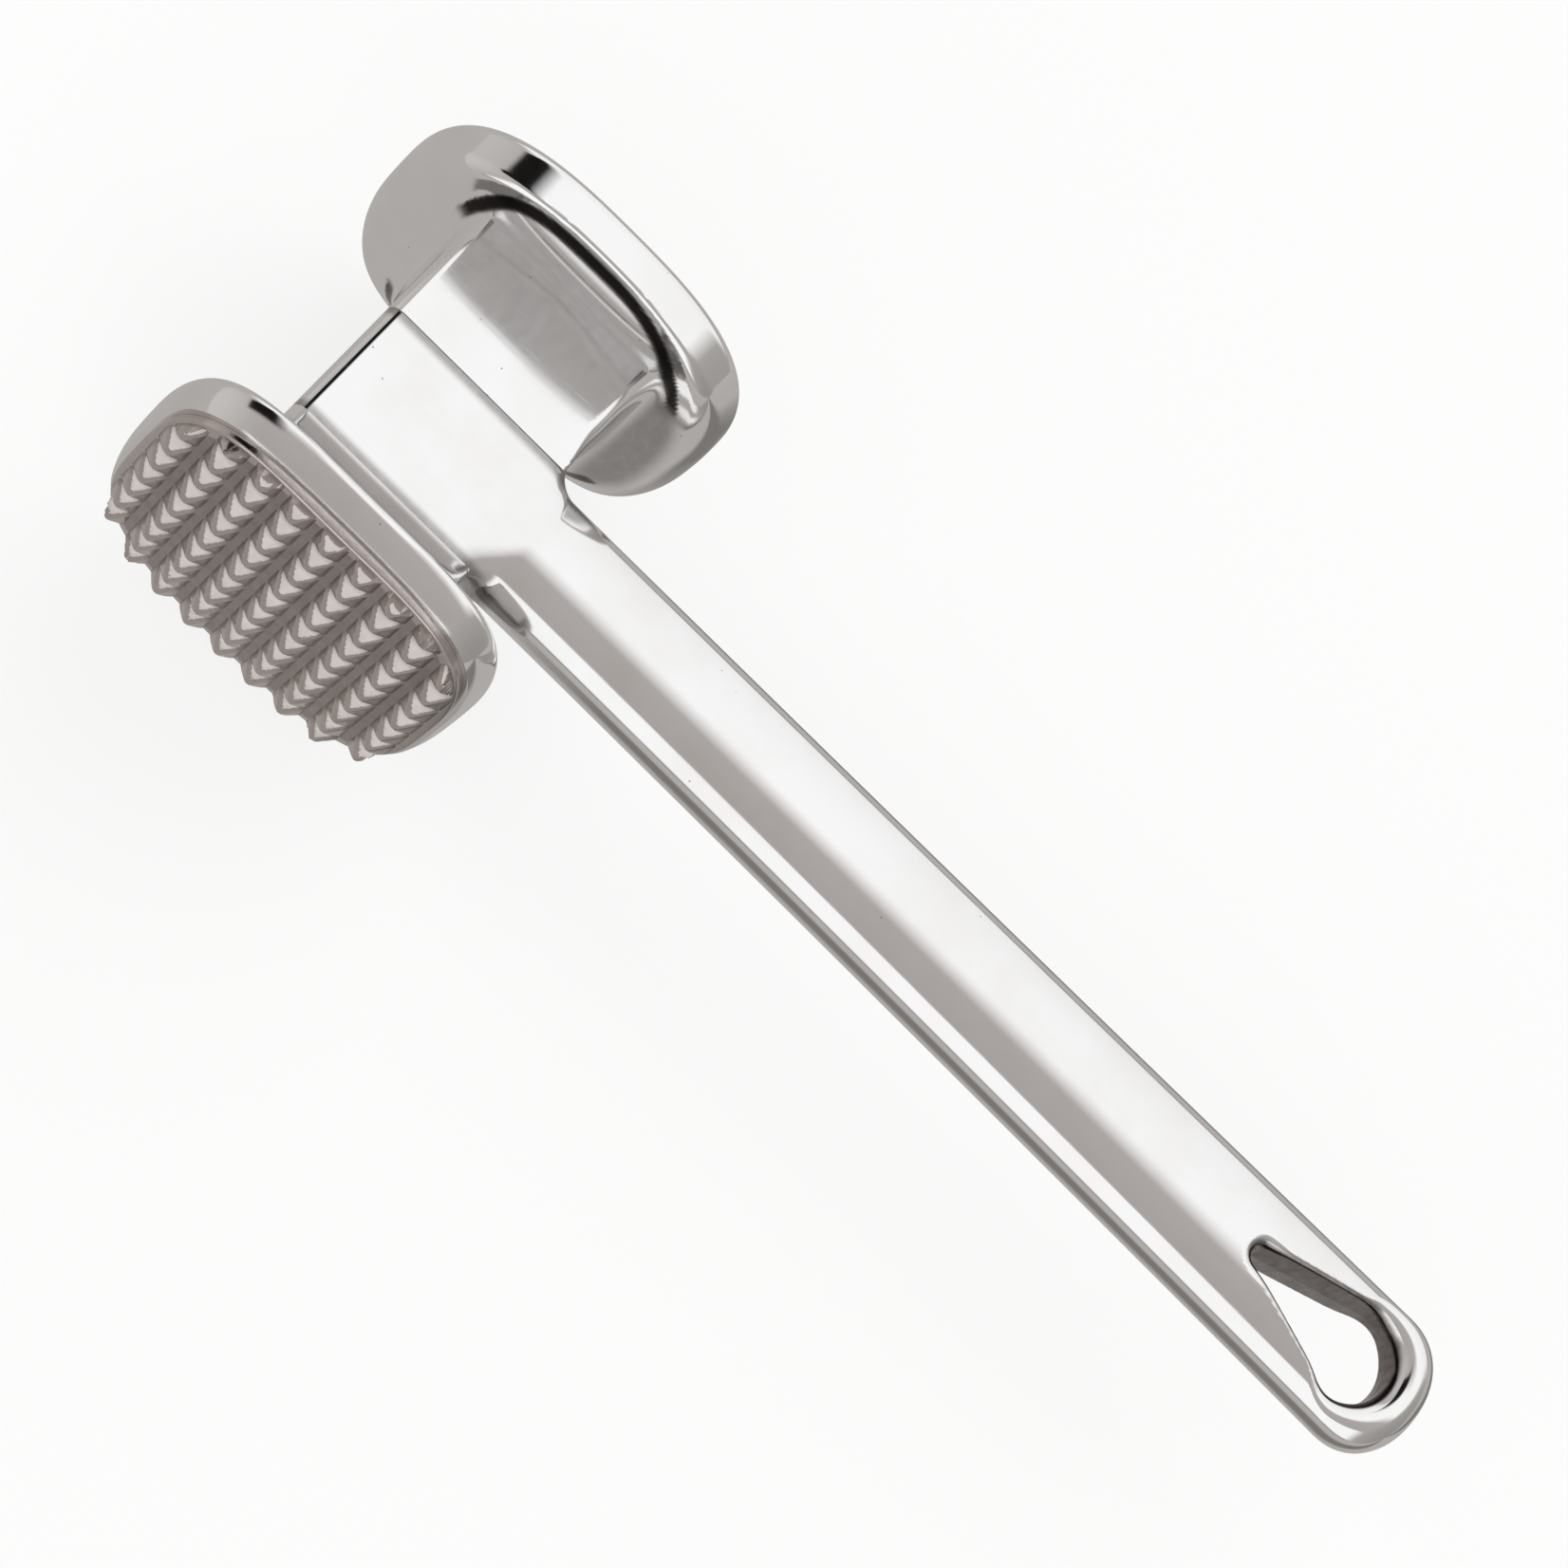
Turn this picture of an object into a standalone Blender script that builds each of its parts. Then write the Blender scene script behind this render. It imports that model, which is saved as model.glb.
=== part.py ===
"""Meat mallet: a flat bar handle between a plain pounding head and a toothed head.

The mallet lies on its broad side. +X runs from the head to the hang hole, +Y is the head's
axis towards the pounding face, and +Z is up. The origin is under the middle of the mallet's
bounding box, on the plane that its lowest point touches.
"""

import math

import bmesh
import bpy
from mathutils import Matrix, Vector

MM = 0.001
MESH_GAP = 0.3                 # left between pieces that touch

# Handle: the bar
HANDLE_END_X = 217.7           # from the head's axis to the tip of the hang end
BAR_HALF_WIDTH_NECK = 11.2
BAR_HALF_WIDTH_END = 12.6
BAR_FLARE = 1.7                # above 1 the bar widens mostly towards its end
BAR_THICKNESS = 12.4
BAR_EDGE_RADIUS = 5.4
BAR_EDGE_RADIUS_ENDS = 2.9     # the edges are squarer at the head and beside the hole
BAR_EDGE_BLEND = 24.0          # length over which they grow round
BAR_CROWN = 0.5                # rise of the broad faces above a flat bar
BAR_END_LENGTH = 10.6          # length of the rounded end
BAR_END_SQUARENESS = 2.2       # 2 would be an ellipse
BAR_TIP_FLAT = 0.02            # the last cross-section stands this far inside the tip
NECK_FILLET = 4.1              # plan radius where the bar leaves the head

# Handle: the flat block between the two heads
BLOCK_HALF_LENGTH = 18.3       # along X
BLOCK_HALF_WIDTH = 11.3        # along Y, to the seats of the heads
BLOCK_EDGE_RADIUS = 2.6
BLOCK_OVERLAP = 1.5            # how far the block runs into the bar

# Handle: the teardrop hang hole
HOLE_CENTRE_FROM_END = 15.2
HOLE_RADIUS = 7.4
HOLE_LENGTH = 22.6             # from the apex to the middle of the round end
HOLE_APEX_RADIUS = 1.5
HOLE_LIP = 1.9                 # how far the lip opens at each face
HOLE_LIP_DEPTH = 2.2

# Both heads: the neck with its ramps
RAMP_START_ANGLE = 36.0        # slope of the ramp at the block, in degrees
RAMP_END_ANGLE = 61.0          # slope at the flange
RAMP_STOP = 2.6                # the ramp ends this far short of the rim's back edge
NECK_CORNER_RADIUS = 2.4

# Both heads: the flange
FLANGE_HALF_WIDTH = 32.7       # along X
FLANGE_HALF_HEIGHT = 31.4      # along Z
POUNDING_SQUARENESS = 2.75     # exponent of the superellipse outline
TENDERIZER_SQUARENESS = 3.4
FLANGE_BACK_CORE = 16.0        # half width of the flat middle of the flange's back
POUNDING_BACK_Y = 24.2
POUNDING_RIM_BACK_Y = 29.0
POUNDING_FACE_Y = 37.0
POUNDING_EDGE_LENGTH = 2.5     # of the rounding at the front edge, along Y
POUNDING_EDGE_INSET = 2.5      # of the same rounding, towards the head's axis
TENDERIZER_BACK_Y = 22.6
TENDERIZER_RIM_BACK_Y = 27.3
TENDERIZER_FACE_Y = 32.0
TENDERIZER_EDGE_LENGTH = 3.4
TENDERIZER_EDGE_INSET = 1.6
RIM_TAPER = 0.7                # how much narrower the rim is at its back

# Toothed plate
PLATE_STEP = 0.5               # the flange's face shows this much round the plate
PLATE_THICKNESS = 2.9          # to the valleys at the middle of the plate
PLATE_CROWN_RADIUS = 344.0
PLATE_EDGE_CHAMFER = 0.4
BOSS_RADIUS = 6.4
BOSS_LENGTH = 3.0

TEETH_ACROSS = 9
TOOTH_PITCH = 6.65
TOOTH_HEIGHT = 2.5
TOOTH_GROOVE_X = 1.3           # flat groove between the rows that run along Z
TOOTH_GROOVE_Z = 0.4           # narrow valley between the teeth of one row
TOOTH_TIP = 0.5                # side of the small flat at the point
TOOTH_ROOT = 0.8               # how deep a tooth is sunk in the plate
TOOTH_CORNER_REACH = 1.1       # teeth beyond this share of the outline are left out

# Fasteners inside the head
BOLT_RADIUS = 3.0
BOLT_HEAD_RADIUS = 5.0
BOLT_HEAD_HEIGHT = 6.0
BOLT_SOCKET_ACROSS = 5.0       # across the flats
BOLT_SOCKET_DEPTH = 3.0
BOLT_GRIP = 12.0               # length of thread inside the pounding head
BOLT_HOLE_SPARE = 2.0
BOLT_CHAMFER = 0.5
WASHER_OUTER_RADIUS = 5.0
WASHER_THICKNESS = 1.5
WASHER_SLIT = 0.9
DOWEL_RADIUS = 2.0
DOWEL_SPACING = 24.0
DOWEL_DEPTH = 6.0              # how far each end enters a head
DOWEL_CHAMFER = 0.4
DOWEL_BOTTOM = 0.8

SECTION_POINTS = 56            # round a flange
ROUND_POINTS = 24              # round a bolt
DOWEL_POINTS = 16

# Worked out from the sizes above
SEAT_Y = BLOCK_HALF_WIDTH + MESH_GAP
BAR_START_X = BLOCK_HALF_LENGTH + MESH_GAP
BLOCK_HALF_HEIGHT = BAR_THICKNESS / 2
PLATE_HALF_WIDTH = FLANGE_HALF_WIDTH - TENDERIZER_EDGE_INSET - PLATE_STEP
PLATE_HALF_HEIGHT = FLANGE_HALF_HEIGHT - TENDERIZER_EDGE_INSET - PLATE_STEP
PLATE_BACK_Y = TENDERIZER_FACE_Y + MESH_GAP
PLATE_CREST_Y = PLATE_BACK_Y + PLATE_THICKNESS
BOLT_HEAD_TOP_Y = PLATE_BACK_Y - BOSS_LENGTH - MESH_GAP
BOLT_SEAT_Y = BOLT_HEAD_TOP_Y - BOLT_HEAD_HEIGHT
WASHER_BACK_Y = BOLT_SEAT_Y - MESH_GAP - WASHER_THICKNESS
COUNTERBORE_FLOOR_Y = WASHER_BACK_Y - MESH_GAP
BOLT_END_Y = BLOCK_HALF_WIDTH + BOLT_GRIP
ORIGIN_SHIFT = Vector((
    (FLANGE_HALF_WIDTH - HANDLE_END_X) / 2,
    (PLATE_CREST_Y + TOOTH_HEIGHT - POUNDING_FACE_Y) / 2,
    FLANGE_HALF_HEIGHT,
))


def clear_scene():
    for item in list(bpy.data.objects):
        bpy.data.objects.remove(item, do_unlink=True)


def make_material(name, colour, roughness):
    """A bare metal with one colour and one roughness."""
    material = bpy.data.materials.new(name)
    material.use_nodes = True
    shader = material.node_tree.nodes["Principled BSDF"]
    shader.inputs["Base Color"].default_value = (*colour, 1.0)
    shader.inputs["Metallic"].default_value = 1.0
    shader.inputs["Roughness"].default_value = roughness
    return material


def make_object(name, bm, frame, material=None):
    """Turn a bmesh in millimetres into an object that hangs on the mallet's frame."""
    bmesh.ops.recalc_face_normals(bm, faces=bm.faces)
    bmesh.ops.scale(bm, vec=(MM, MM, MM), verts=bm.verts)
    mesh = bpy.data.meshes.new(name)
    bm.to_mesh(mesh)
    bm.free()
    item = bpy.data.objects.new(name, mesh)
    bpy.context.scene.collection.objects.link(item)
    item.parent = frame
    if material is None:
        item.hide_render = True
        item.display_type = "WIRE"
    else:
        mesh.materials.append(material)
        mesh.shade_smooth()
        mesh.set_sharp_from_angle(angle=math.radians(35))
    return item


def combine(item, operation, name, bm):
    """Cut a shape out of `item`, or join it on. The shape itself stays out of the model."""
    modifier = item.modifiers.new(name, "BOOLEAN")
    modifier.operation = operation
    modifier.object = make_object(name, bm, item.parent)
    modifier.solver = "EXACT"
    return modifier.object


def loft(sections):
    """A closed solid through loops that all have the same number of points."""
    bm = bmesh.new()
    loops = [[bm.verts.new(point) for point in section] for section in sections]
    for near, far in zip(loops, loops[1:]):
        count = len(near)
        for i in range(count):
            j = (i + 1) % count
            bm.faces.new((near[i], near[j], far[j], far[i]))
    bm.faces.new(loops[0])
    bm.faces.new(reversed(loops[-1]))
    return bm


def arc(steps, sweep=math.pi / 2):
    """Evenly spaced angles from 0 to `sweep`."""
    return [sweep * i / steps for i in range(steps + 1)]


def superellipse(half_x, half_z, y, squareness):
    """A loop round the Y axis with the outline of a flange."""
    loop = []
    for angle in arc(SECTION_POINTS, 2 * math.pi)[:-1]:
        cos, sin = math.cos(angle), math.sin(angle)
        reach = (abs(cos / half_x) ** squareness + abs(sin / half_z) ** squareness) ** (-1 / squareness)
        loop.append((reach * cos, y, reach * sin))
    return loop


def rounded_rectangle(half_width, half_height, radius, corner_steps):
    """Points of a rectangle with round corners, anticlockwise from its right side."""
    corners = ((1, 1), (-1, 1), (-1, -1), (1, -1))
    points = []
    for quarter, (side_u, side_v) in enumerate(corners):
        for angle in arc(corner_steps):
            turned = angle + quarter * math.pi / 2
            points.append((side_u * (half_width - radius) + radius * math.cos(turned),
                           side_v * (half_height - radius) + radius * math.sin(turned)))
    return points


def ring(radius, y, x=0.0, points=ROUND_POINTS):
    """A round loop about an axis along Y."""
    return [(x + radius * math.cos(a), y, radius * math.sin(a)) for a in arc(points, 2 * math.pi)[:-1]]


def rod(radius, y_low, y_high, x=0.0, points=ROUND_POINTS):
    """A plain round rod along Y."""
    return loft([ring(radius, y_low, x, points), ring(radius, y_high, x, points)])


# The handle

def bar_half_width(x):
    """Half the bar's width: the fillet at the head, a straight taper, then the round end."""
    fillet_end = BAR_START_X + NECK_FILLET
    end_start = HANDLE_END_X - BAR_END_LENGTH
    share = min(max((x - fillet_end) / (end_start - fillet_end), 0.0), 1.0)
    width = BAR_HALF_WIDTH_NECK + (BAR_HALF_WIDTH_END - BAR_HALF_WIDTH_NECK) * share ** BAR_FLARE
    if x < fillet_end:
        width += NECK_FILLET - math.sqrt(max(NECK_FILLET ** 2 - (fillet_end - x) ** 2, 0.0))
    if x > end_start:
        reach = (x - end_start) / BAR_END_LENGTH
        width *= (1 - reach ** BAR_END_SQUARENESS) ** (1 / BAR_END_SQUARENESS)
    return width


def bar_edge_radius(x):
    """Radius of the bar's long edges: smaller at the head and beside the hang hole."""
    hole_start = HANDLE_END_X - HOLE_CENTRE_FROM_END - HOLE_LENGTH
    share = min((x - BAR_START_X) / BAR_EDGE_BLEND, (hole_start + BAR_EDGE_BLEND - x) / BAR_EDGE_BLEND)
    share = min(max(share, 0.0), 1.0)
    smooth = share * share * (3 - 2 * share)
    return BAR_EDGE_RADIUS_ENDS + (BAR_EDGE_RADIUS - BAR_EDGE_RADIUS_ENDS) * smooth


def bar_section(x):
    """One cross-section of the bar: crowned broad faces and round edges."""
    half_width = bar_half_width(x)
    edge_radius = bar_edge_radius(x)
    over_tip = max(edge_radius - (HANDLE_END_X - x), 0.0)
    thinned = edge_radius - math.sqrt(edge_radius ** 2 - over_tip ** 2)
    half_height = BAR_THICKNESS / 2 - BAR_CROWN - thinned
    radius = min(edge_radius, half_width, half_height) * 0.98
    loop = []
    for y, z in rounded_rectangle(half_width, half_height, radius, 4):
        crown = BAR_CROWN * (1 - (y / half_width) ** 2)
        loop.append((x, y, z + math.copysign(crown, z)))
    return loop


def bar_stations():
    """Where the bar's cross-sections stand."""
    fillet_end = BAR_START_X + NECK_FILLET
    end_start = HANDLE_END_X - BAR_END_LENGTH
    stations = [BAR_START_X + NECK_FILLET * (1 - math.cos(angle)) for angle in arc(5)]
    straight = 9
    stations += [fillet_end + (end_start - fillet_end) * i / straight for i in range(1, straight + 1)]
    stations += [end_start + BAR_END_LENGTH * math.sin(angle) for angle in arc(10)[1:-1]]
    stations.append(HANDLE_END_X - BAR_TIP_FLAT)
    return stations


def block_outline():
    """The head block seen along Y: a slab with two round corners at -X."""
    right = BAR_START_X + BLOCK_OVERLAP
    radius = BLOCK_EDGE_RADIUS
    centre_x = radius - BLOCK_HALF_LENGTH
    centre_z = BLOCK_HALF_HEIGHT - radius
    points = [(right, -BLOCK_HALF_HEIGHT), (right, BLOCK_HALF_HEIGHT)]
    points += [(centre_x - radius * math.sin(a), centre_z + radius * math.cos(a)) for a in arc(5)]
    points += [(centre_x - radius * math.cos(a), -centre_z - radius * math.sin(a)) for a in arc(5)]
    return points


def teardrop(grow, z):
    """The hang hole's outline, opened by `grow` all round."""
    centre = HANDLE_END_X - HOLE_CENTRE_FROM_END
    apex_centre = centre - HOLE_LENGTH + HOLE_APEX_RADIUS
    slant = math.asin((HOLE_RADIUS - HOLE_APEX_RADIUS) / (centre - apex_centre))
    loop = []
    for place, radius, start, sweep, steps in (
        (centre, HOLE_RADIUS + grow, -math.pi / 2 - slant, math.pi + 2 * slant, 20),
        (apex_centre, HOLE_APEX_RADIUS + grow, math.pi / 2 + slant, math.pi - 2 * slant, 5),
    ):
        for angle in arc(steps, sweep):
            loop.append((place + radius * math.cos(start + angle), radius * math.sin(start + angle), z))
    return loop


def hang_hole():
    """A teardrop prism that opens to a round lip at both broad faces."""
    face = BAR_THICKNESS / 2
    levels = [(face - HOLE_LIP_DEPTH * (1 - math.sin(a)), HOLE_LIP * (1 - math.cos(a))) for a in arc(4)]
    levels.append((face + HOLE_LIP, 2 * HOLE_LIP))
    below = [(-z, grow) for z, grow in reversed(levels)]
    return loft([teardrop(grow, z) for z, grow in below + levels])


def build_handle(frame, metal):
    handle = make_object("handle", loft([bar_section(x) for x in bar_stations()]), frame, metal)
    ends = (-BLOCK_HALF_WIDTH, BLOCK_HALF_WIDTH)
    block = loft([[(x, y, z) for x, z in block_outline()] for y in ends])
    combine(handle, "UNION", "handle_block", block)
    combine(handle, "DIFFERENCE", "hang_hole", hang_hole())
    combine(handle, "DIFFERENCE", "handle_bolt_bore", rod(BOLT_RADIUS + MESH_GAP, -SEAT_Y, SEAT_Y))
    for number, x in enumerate(dowel_places(), start=1):
        bore = rod(DOWEL_RADIUS + MESH_GAP, -SEAT_Y, SEAT_Y, x, DOWEL_POINTS)
        combine(handle, "DIFFERENCE", f"handle_dowel_bore_{number}", bore)


# The two heads, both described on the +Y side

def ramp_height(share, length):
    """Half the neck's height after a share of the ramp, whose slope grows evenly."""
    low = math.tan(math.radians(RAMP_START_ANGLE))
    high = math.tan(math.radians(RAMP_END_ANGLE))
    return BLOCK_HALF_HEIGHT + length * (low * share + (high - low) * share ** 2 / 2)


def neck_sections(rim_back_y):
    """The neck's loops, from its seat on the handle into the flange."""
    steps = 8
    length = rim_back_y - RAMP_STOP - SEAT_Y
    stations = [SEAT_Y + length * i / steps for i in range(steps + 1)]
    heights = [ramp_height(i / steps, length) for i in range(steps + 1)]
    sections = []
    for y, height in zip(stations + [rim_back_y], heights + [heights[-1]]):
        outline = rounded_rectangle(BLOCK_HALF_LENGTH, height, NECK_CORNER_RADIUS, 4)
        sections.append([(x, y, z) for x, z in outline])
    return sections


def flange_sections(back_y, rim_back_y, face_y, edge_length, edge_inset, squareness):
    """The flange's loops: a dished back, a slightly tapered rim and a round front edge."""
    rim = FLANGE_HALF_WIDTH - RIM_TAPER
    rise = rim - FLANGE_BACK_CORE
    stations = [(back_y + (rim_back_y - back_y) * (1 - math.cos(a)), FLANGE_BACK_CORE + rise * math.sin(a))
                for a in arc(6)]
    stations += [(face_y - edge_length * (1 - math.sin(a)),
                  FLANGE_HALF_WIDTH - edge_inset * (1 - math.cos(a)))
                 for a in arc(5)]
    narrower = FLANGE_HALF_WIDTH - FLANGE_HALF_HEIGHT
    return [superellipse(half_width, half_width - narrower, y, squareness) for y, half_width in stations]


def on_side(sections, side):
    """The same loops on the +Y side (1) or the -Y side (-1) of the handle."""
    return [[(x, side * y, z) for x, y, z in loop] for loop in sections]


def build_head(name, side, flange, rim_back_y, frame, metal):
    """A flange with its neck, and blind sockets for the dowels."""
    head = make_object(name, loft(on_side(flange, side)), frame, metal)
    combine(head, "UNION", name + "_neck", loft(on_side(neck_sections(rim_back_y), side)))
    deep = BLOCK_HALF_WIDTH + DOWEL_DEPTH + DOWEL_BOTTOM
    for number, x in enumerate(dowel_places(), start=1):
        socket = rod(DOWEL_RADIUS + MESH_GAP, side * BLOCK_HALF_WIDTH, side * deep, x, DOWEL_POINTS)
        combine(head, "DIFFERENCE", f"{name}_dowel_socket_{number}", socket)
    return head


def build_pounding_head(frame, metal):
    flange = flange_sections(POUNDING_BACK_Y, POUNDING_RIM_BACK_Y, POUNDING_FACE_Y,
                             POUNDING_EDGE_LENGTH, POUNDING_EDGE_INSET, POUNDING_SQUARENESS)
    head = build_head("pounding_head", 1, flange, POUNDING_RIM_BACK_Y, frame, metal)
    bore = rod(BOLT_RADIUS + MESH_GAP, BLOCK_HALF_WIDTH, BOLT_END_Y + BOLT_HOLE_SPARE)
    combine(head, "DIFFERENCE", "pounding_bolt_bore", bore)


def build_tenderizer_head(frame, metal):
    flange = flange_sections(TENDERIZER_BACK_Y, TENDERIZER_RIM_BACK_Y, TENDERIZER_FACE_Y,
                             TENDERIZER_EDGE_LENGTH, TENDERIZER_EDGE_INSET, TENDERIZER_SQUARENESS)
    head = build_head("tenderizer_head", -1, flange, TENDERIZER_RIM_BACK_Y, frame, metal)
    bore = rod(BOLT_RADIUS + MESH_GAP, -COUNTERBORE_FLOOR_Y - MESH_GAP, -BLOCK_HALF_WIDTH)
    combine(head, "DIFFERENCE", "tenderizer_bolt_bore", bore)
    counterbore = rod(BOSS_RADIUS + MESH_GAP, -PLATE_BACK_Y, -COUNTERBORE_FLOOR_Y, points=32)
    combine(head, "DIFFERENCE", "tenderizer_counterbore", counterbore)


# The toothed plate

def valley_y(x, z):
    """Depth of the plate's crowned face below the teeth."""
    return -(PLATE_CREST_Y - (x * x + z * z) / (2 * PLATE_CROWN_RADIUS))


def plate_outline(inset, y):
    """The plate's own outline, or one that stands inside it."""
    return superellipse(PLATE_HALF_WIDTH - inset, PLATE_HALF_HEIGHT - inset, y, TENDERIZER_SQUARENESS)


def plate_body():
    """The plate without its teeth: a straight side, a small chamfer and a crowned face."""
    sections = [plate_outline(0.0, -PLATE_BACK_Y)]
    rim = plate_outline(0.0, 0.0)
    sections.append([(x, valley_y(x, z) + PLATE_EDGE_CHAMFER, z) for x, _, z in rim])
    for share in (1 - PLATE_EDGE_CHAMFER / PLATE_HALF_WIDTH, 0.75, 0.5, 0.25):
        sections.append([(x * share, valley_y(x * share, z * share), z * share) for x, _, z in rim])
    return loft(sections)


def teeth():
    """Square rows of four-sided pyramids, each cut off at a small flat."""
    bm = bmesh.new()
    base_x = (TOOTH_PITCH - TOOTH_GROOVE_X) / 2
    base_z = (TOOTH_PITCH - TOOTH_GROOVE_Z) / 2
    middle = (TEETH_ACROSS - 1) / 2
    for column in range(TEETH_ACROSS):
        for row in range(TEETH_ACROSS):
            x, z = (column - middle) * TOOTH_PITCH, (row - middle) * TOOTH_PITCH
            reach = (abs(x) / PLATE_HALF_WIDTH) ** TENDERIZER_SQUARENESS
            reach += (abs(z) / PLATE_HALF_HEIGHT) ** TENDERIZER_SQUARENESS
            if reach > TOOTH_CORNER_REACH:
                continue
            base_y = valley_y(x, z)
            loops = []
            for y, half_x, half_z in ((base_y + TOOTH_ROOT, base_x, base_z), (base_y, base_x, base_z),
                                      (base_y - TOOTH_HEIGHT, TOOTH_TIP / 2, TOOTH_TIP / 2)):
                corners = ((1, 1), (-1, 1), (-1, -1), (1, -1))
                loops.append([bm.verts.new((x + a * half_x, y, z + b * half_z)) for a, b in corners])
            for near, far in zip(loops, loops[1:]):
                for i in range(4):
                    bm.faces.new((near[i], near[i - 3], far[i - 3], far[i]))
            bm.faces.new(loops[0])
            bm.faces.new(reversed(loops[-1]))
    return bm


def build_tenderizer_plate(frame, metal):
    plate = make_object("tenderizer_plate", plate_body(), frame, metal)
    whole_teeth = combine(plate, "UNION", "plate_teeth", teeth())
    edge = [plate_outline(PLATE_EDGE_CHAMFER, -y)
            for y in (TENDERIZER_FACE_Y, PLATE_CREST_Y + 2 * TOOTH_HEIGHT)]
    combine(whole_teeth, "INTERSECT", "plate_teeth_edge", loft(edge))
    boss = rod(BOSS_RADIUS, -PLATE_CREST_Y + TOOTH_ROOT, BOSS_LENGTH - PLATE_BACK_Y, points=32)
    combine(plate, "UNION", "plate_boss", boss)


# What holds the head together

def dowel_places():
    return (-DOWEL_SPACING / 2, DOWEL_SPACING / 2)


def build_head_bolt(frame, metal):
    """A socket head cap screw, its head towards the toothed plate."""
    chamfer = BOLT_CHAMFER
    bolt = loft([
        ring(BOLT_HEAD_RADIUS - chamfer, -BOLT_HEAD_TOP_Y),
        ring(BOLT_HEAD_RADIUS, chamfer - BOLT_HEAD_TOP_Y),
        ring(BOLT_HEAD_RADIUS, -BOLT_SEAT_Y),
        ring(BOLT_RADIUS, -BOLT_SEAT_Y),
        ring(BOLT_RADIUS, BOLT_END_Y - chamfer),
        ring(BOLT_RADIUS - chamfer, BOLT_END_Y),
    ])
    item = make_object("head_bolt", bolt, frame, metal)
    socket = rod(BOLT_SOCKET_ACROSS / math.sqrt(3), -BOLT_HEAD_TOP_Y - BOLT_SOCKET_DEPTH,
                 BOLT_SOCKET_DEPTH - BOLT_HEAD_TOP_Y, points=6)
    combine(item, "DIFFERENCE", "bolt_socket", socket)


def build_lock_washer(frame, metal):
    """A split ring under the bolt's head."""
    half_slit = math.asin(WASHER_SLIT / 2 / WASHER_OUTER_RADIUS)
    inner = BOLT_RADIUS + MESH_GAP
    low, high = -BOLT_SEAT_Y + MESH_GAP, -WASHER_BACK_Y
    sections = []
    for turn in arc(ROUND_POINTS, 2 * math.pi - 2 * half_slit):
        cos, sin = math.cos(turn + half_slit), math.sin(turn + half_slit)
        square = ((inner, low), (WASHER_OUTER_RADIUS, low), (WASHER_OUTER_RADIUS, high), (inner, high))
        sections.append([(radius * cos, y, radius * sin) for radius, y in square])
    make_object("lock_washer", loft(sections), frame, metal)


def build_locating_dowels(frame, metal):
    """Two plain pins through the block, one on each side of the bolt."""
    end_y = BLOCK_HALF_WIDTH + DOWEL_DEPTH
    for number, x in enumerate(dowel_places(), start=1):
        profile = ((DOWEL_RADIUS - DOWEL_CHAMFER, -end_y), (DOWEL_RADIUS, DOWEL_CHAMFER - end_y),
                   (DOWEL_RADIUS, end_y - DOWEL_CHAMFER), (DOWEL_RADIUS - DOWEL_CHAMFER, end_y))
        pin = loft([ring(radius, y, x, DOWEL_POINTS) for radius, y in profile])
        make_object(f"locating_dowel_{number}", pin, frame, metal)


def main():
    clear_scene()
    frame = bpy.data.objects.new("mallet_frame", None)
    bpy.context.scene.collection.objects.link(frame)
    frame.matrix_world = Matrix.Translation(ORIGIN_SHIFT * MM)

    polished = make_material("polished_casting", (0.80, 0.79, 0.78), 0.08)
    plain = make_material("polished_plate", (0.74, 0.71, 0.70), 0.14)
    steel = make_material("machined_steel", (0.56, 0.57, 0.58), 0.35)

    build_handle(frame, polished)
    build_pounding_head(frame, polished)
    build_tenderizer_head(frame, polished)
    build_tenderizer_plate(frame, plain)
    build_head_bolt(frame, steel)
    build_lock_washer(frame, steel)
    build_locating_dowels(frame, steel)
    bpy.context.view_layer.update()


main()
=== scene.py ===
"""Meat mallet: finished castings on the mallet's frame, with a plain studio round them.

Run as a script. Each piece has an operator of its own in the Mallet tab of the 3D view's
sidebar. Sizes are in millimetres from the middle of the head block: +X towards the hang hole,
+Y towards the pounding face, +Z up.
"""

import math

import bmesh
import bpy
import numpy as np
from bpy.props import FloatProperty, FloatVectorProperty, PointerProperty, StringProperty
from bpy.types import Operator, Panel, PropertyGroup
from mathutils import Matrix, Vector


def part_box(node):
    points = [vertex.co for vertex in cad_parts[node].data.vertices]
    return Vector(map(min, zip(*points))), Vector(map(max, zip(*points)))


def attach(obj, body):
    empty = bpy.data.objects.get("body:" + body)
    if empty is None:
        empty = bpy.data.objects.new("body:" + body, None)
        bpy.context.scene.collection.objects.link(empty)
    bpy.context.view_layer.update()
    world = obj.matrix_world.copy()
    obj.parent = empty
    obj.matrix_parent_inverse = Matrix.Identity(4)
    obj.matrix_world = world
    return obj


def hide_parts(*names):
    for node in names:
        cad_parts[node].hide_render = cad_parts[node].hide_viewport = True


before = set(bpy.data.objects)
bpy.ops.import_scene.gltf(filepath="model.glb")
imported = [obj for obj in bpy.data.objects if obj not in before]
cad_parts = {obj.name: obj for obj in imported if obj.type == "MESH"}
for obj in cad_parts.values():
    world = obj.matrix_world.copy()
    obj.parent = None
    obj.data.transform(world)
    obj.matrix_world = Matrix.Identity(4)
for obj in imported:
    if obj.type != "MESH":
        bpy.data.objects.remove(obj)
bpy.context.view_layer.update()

bl_info = {
    "name": "Meat Mallet",
    "version": (1, 0, 0),
    "blender": (4, 5, 0),
    "location": "3D View > Sidebar > Mallet",
    "description": "Cast aluminium meat mallet with a toothed and a plain face",
    "category": "Object",
}

MM = 0.001


def node_size(node):
    """The lowest and highest corner of a node, in millimetres from the frame's origin."""
    low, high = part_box(node)
    return np.array(low) / MM, np.array(high) / MM


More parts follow.
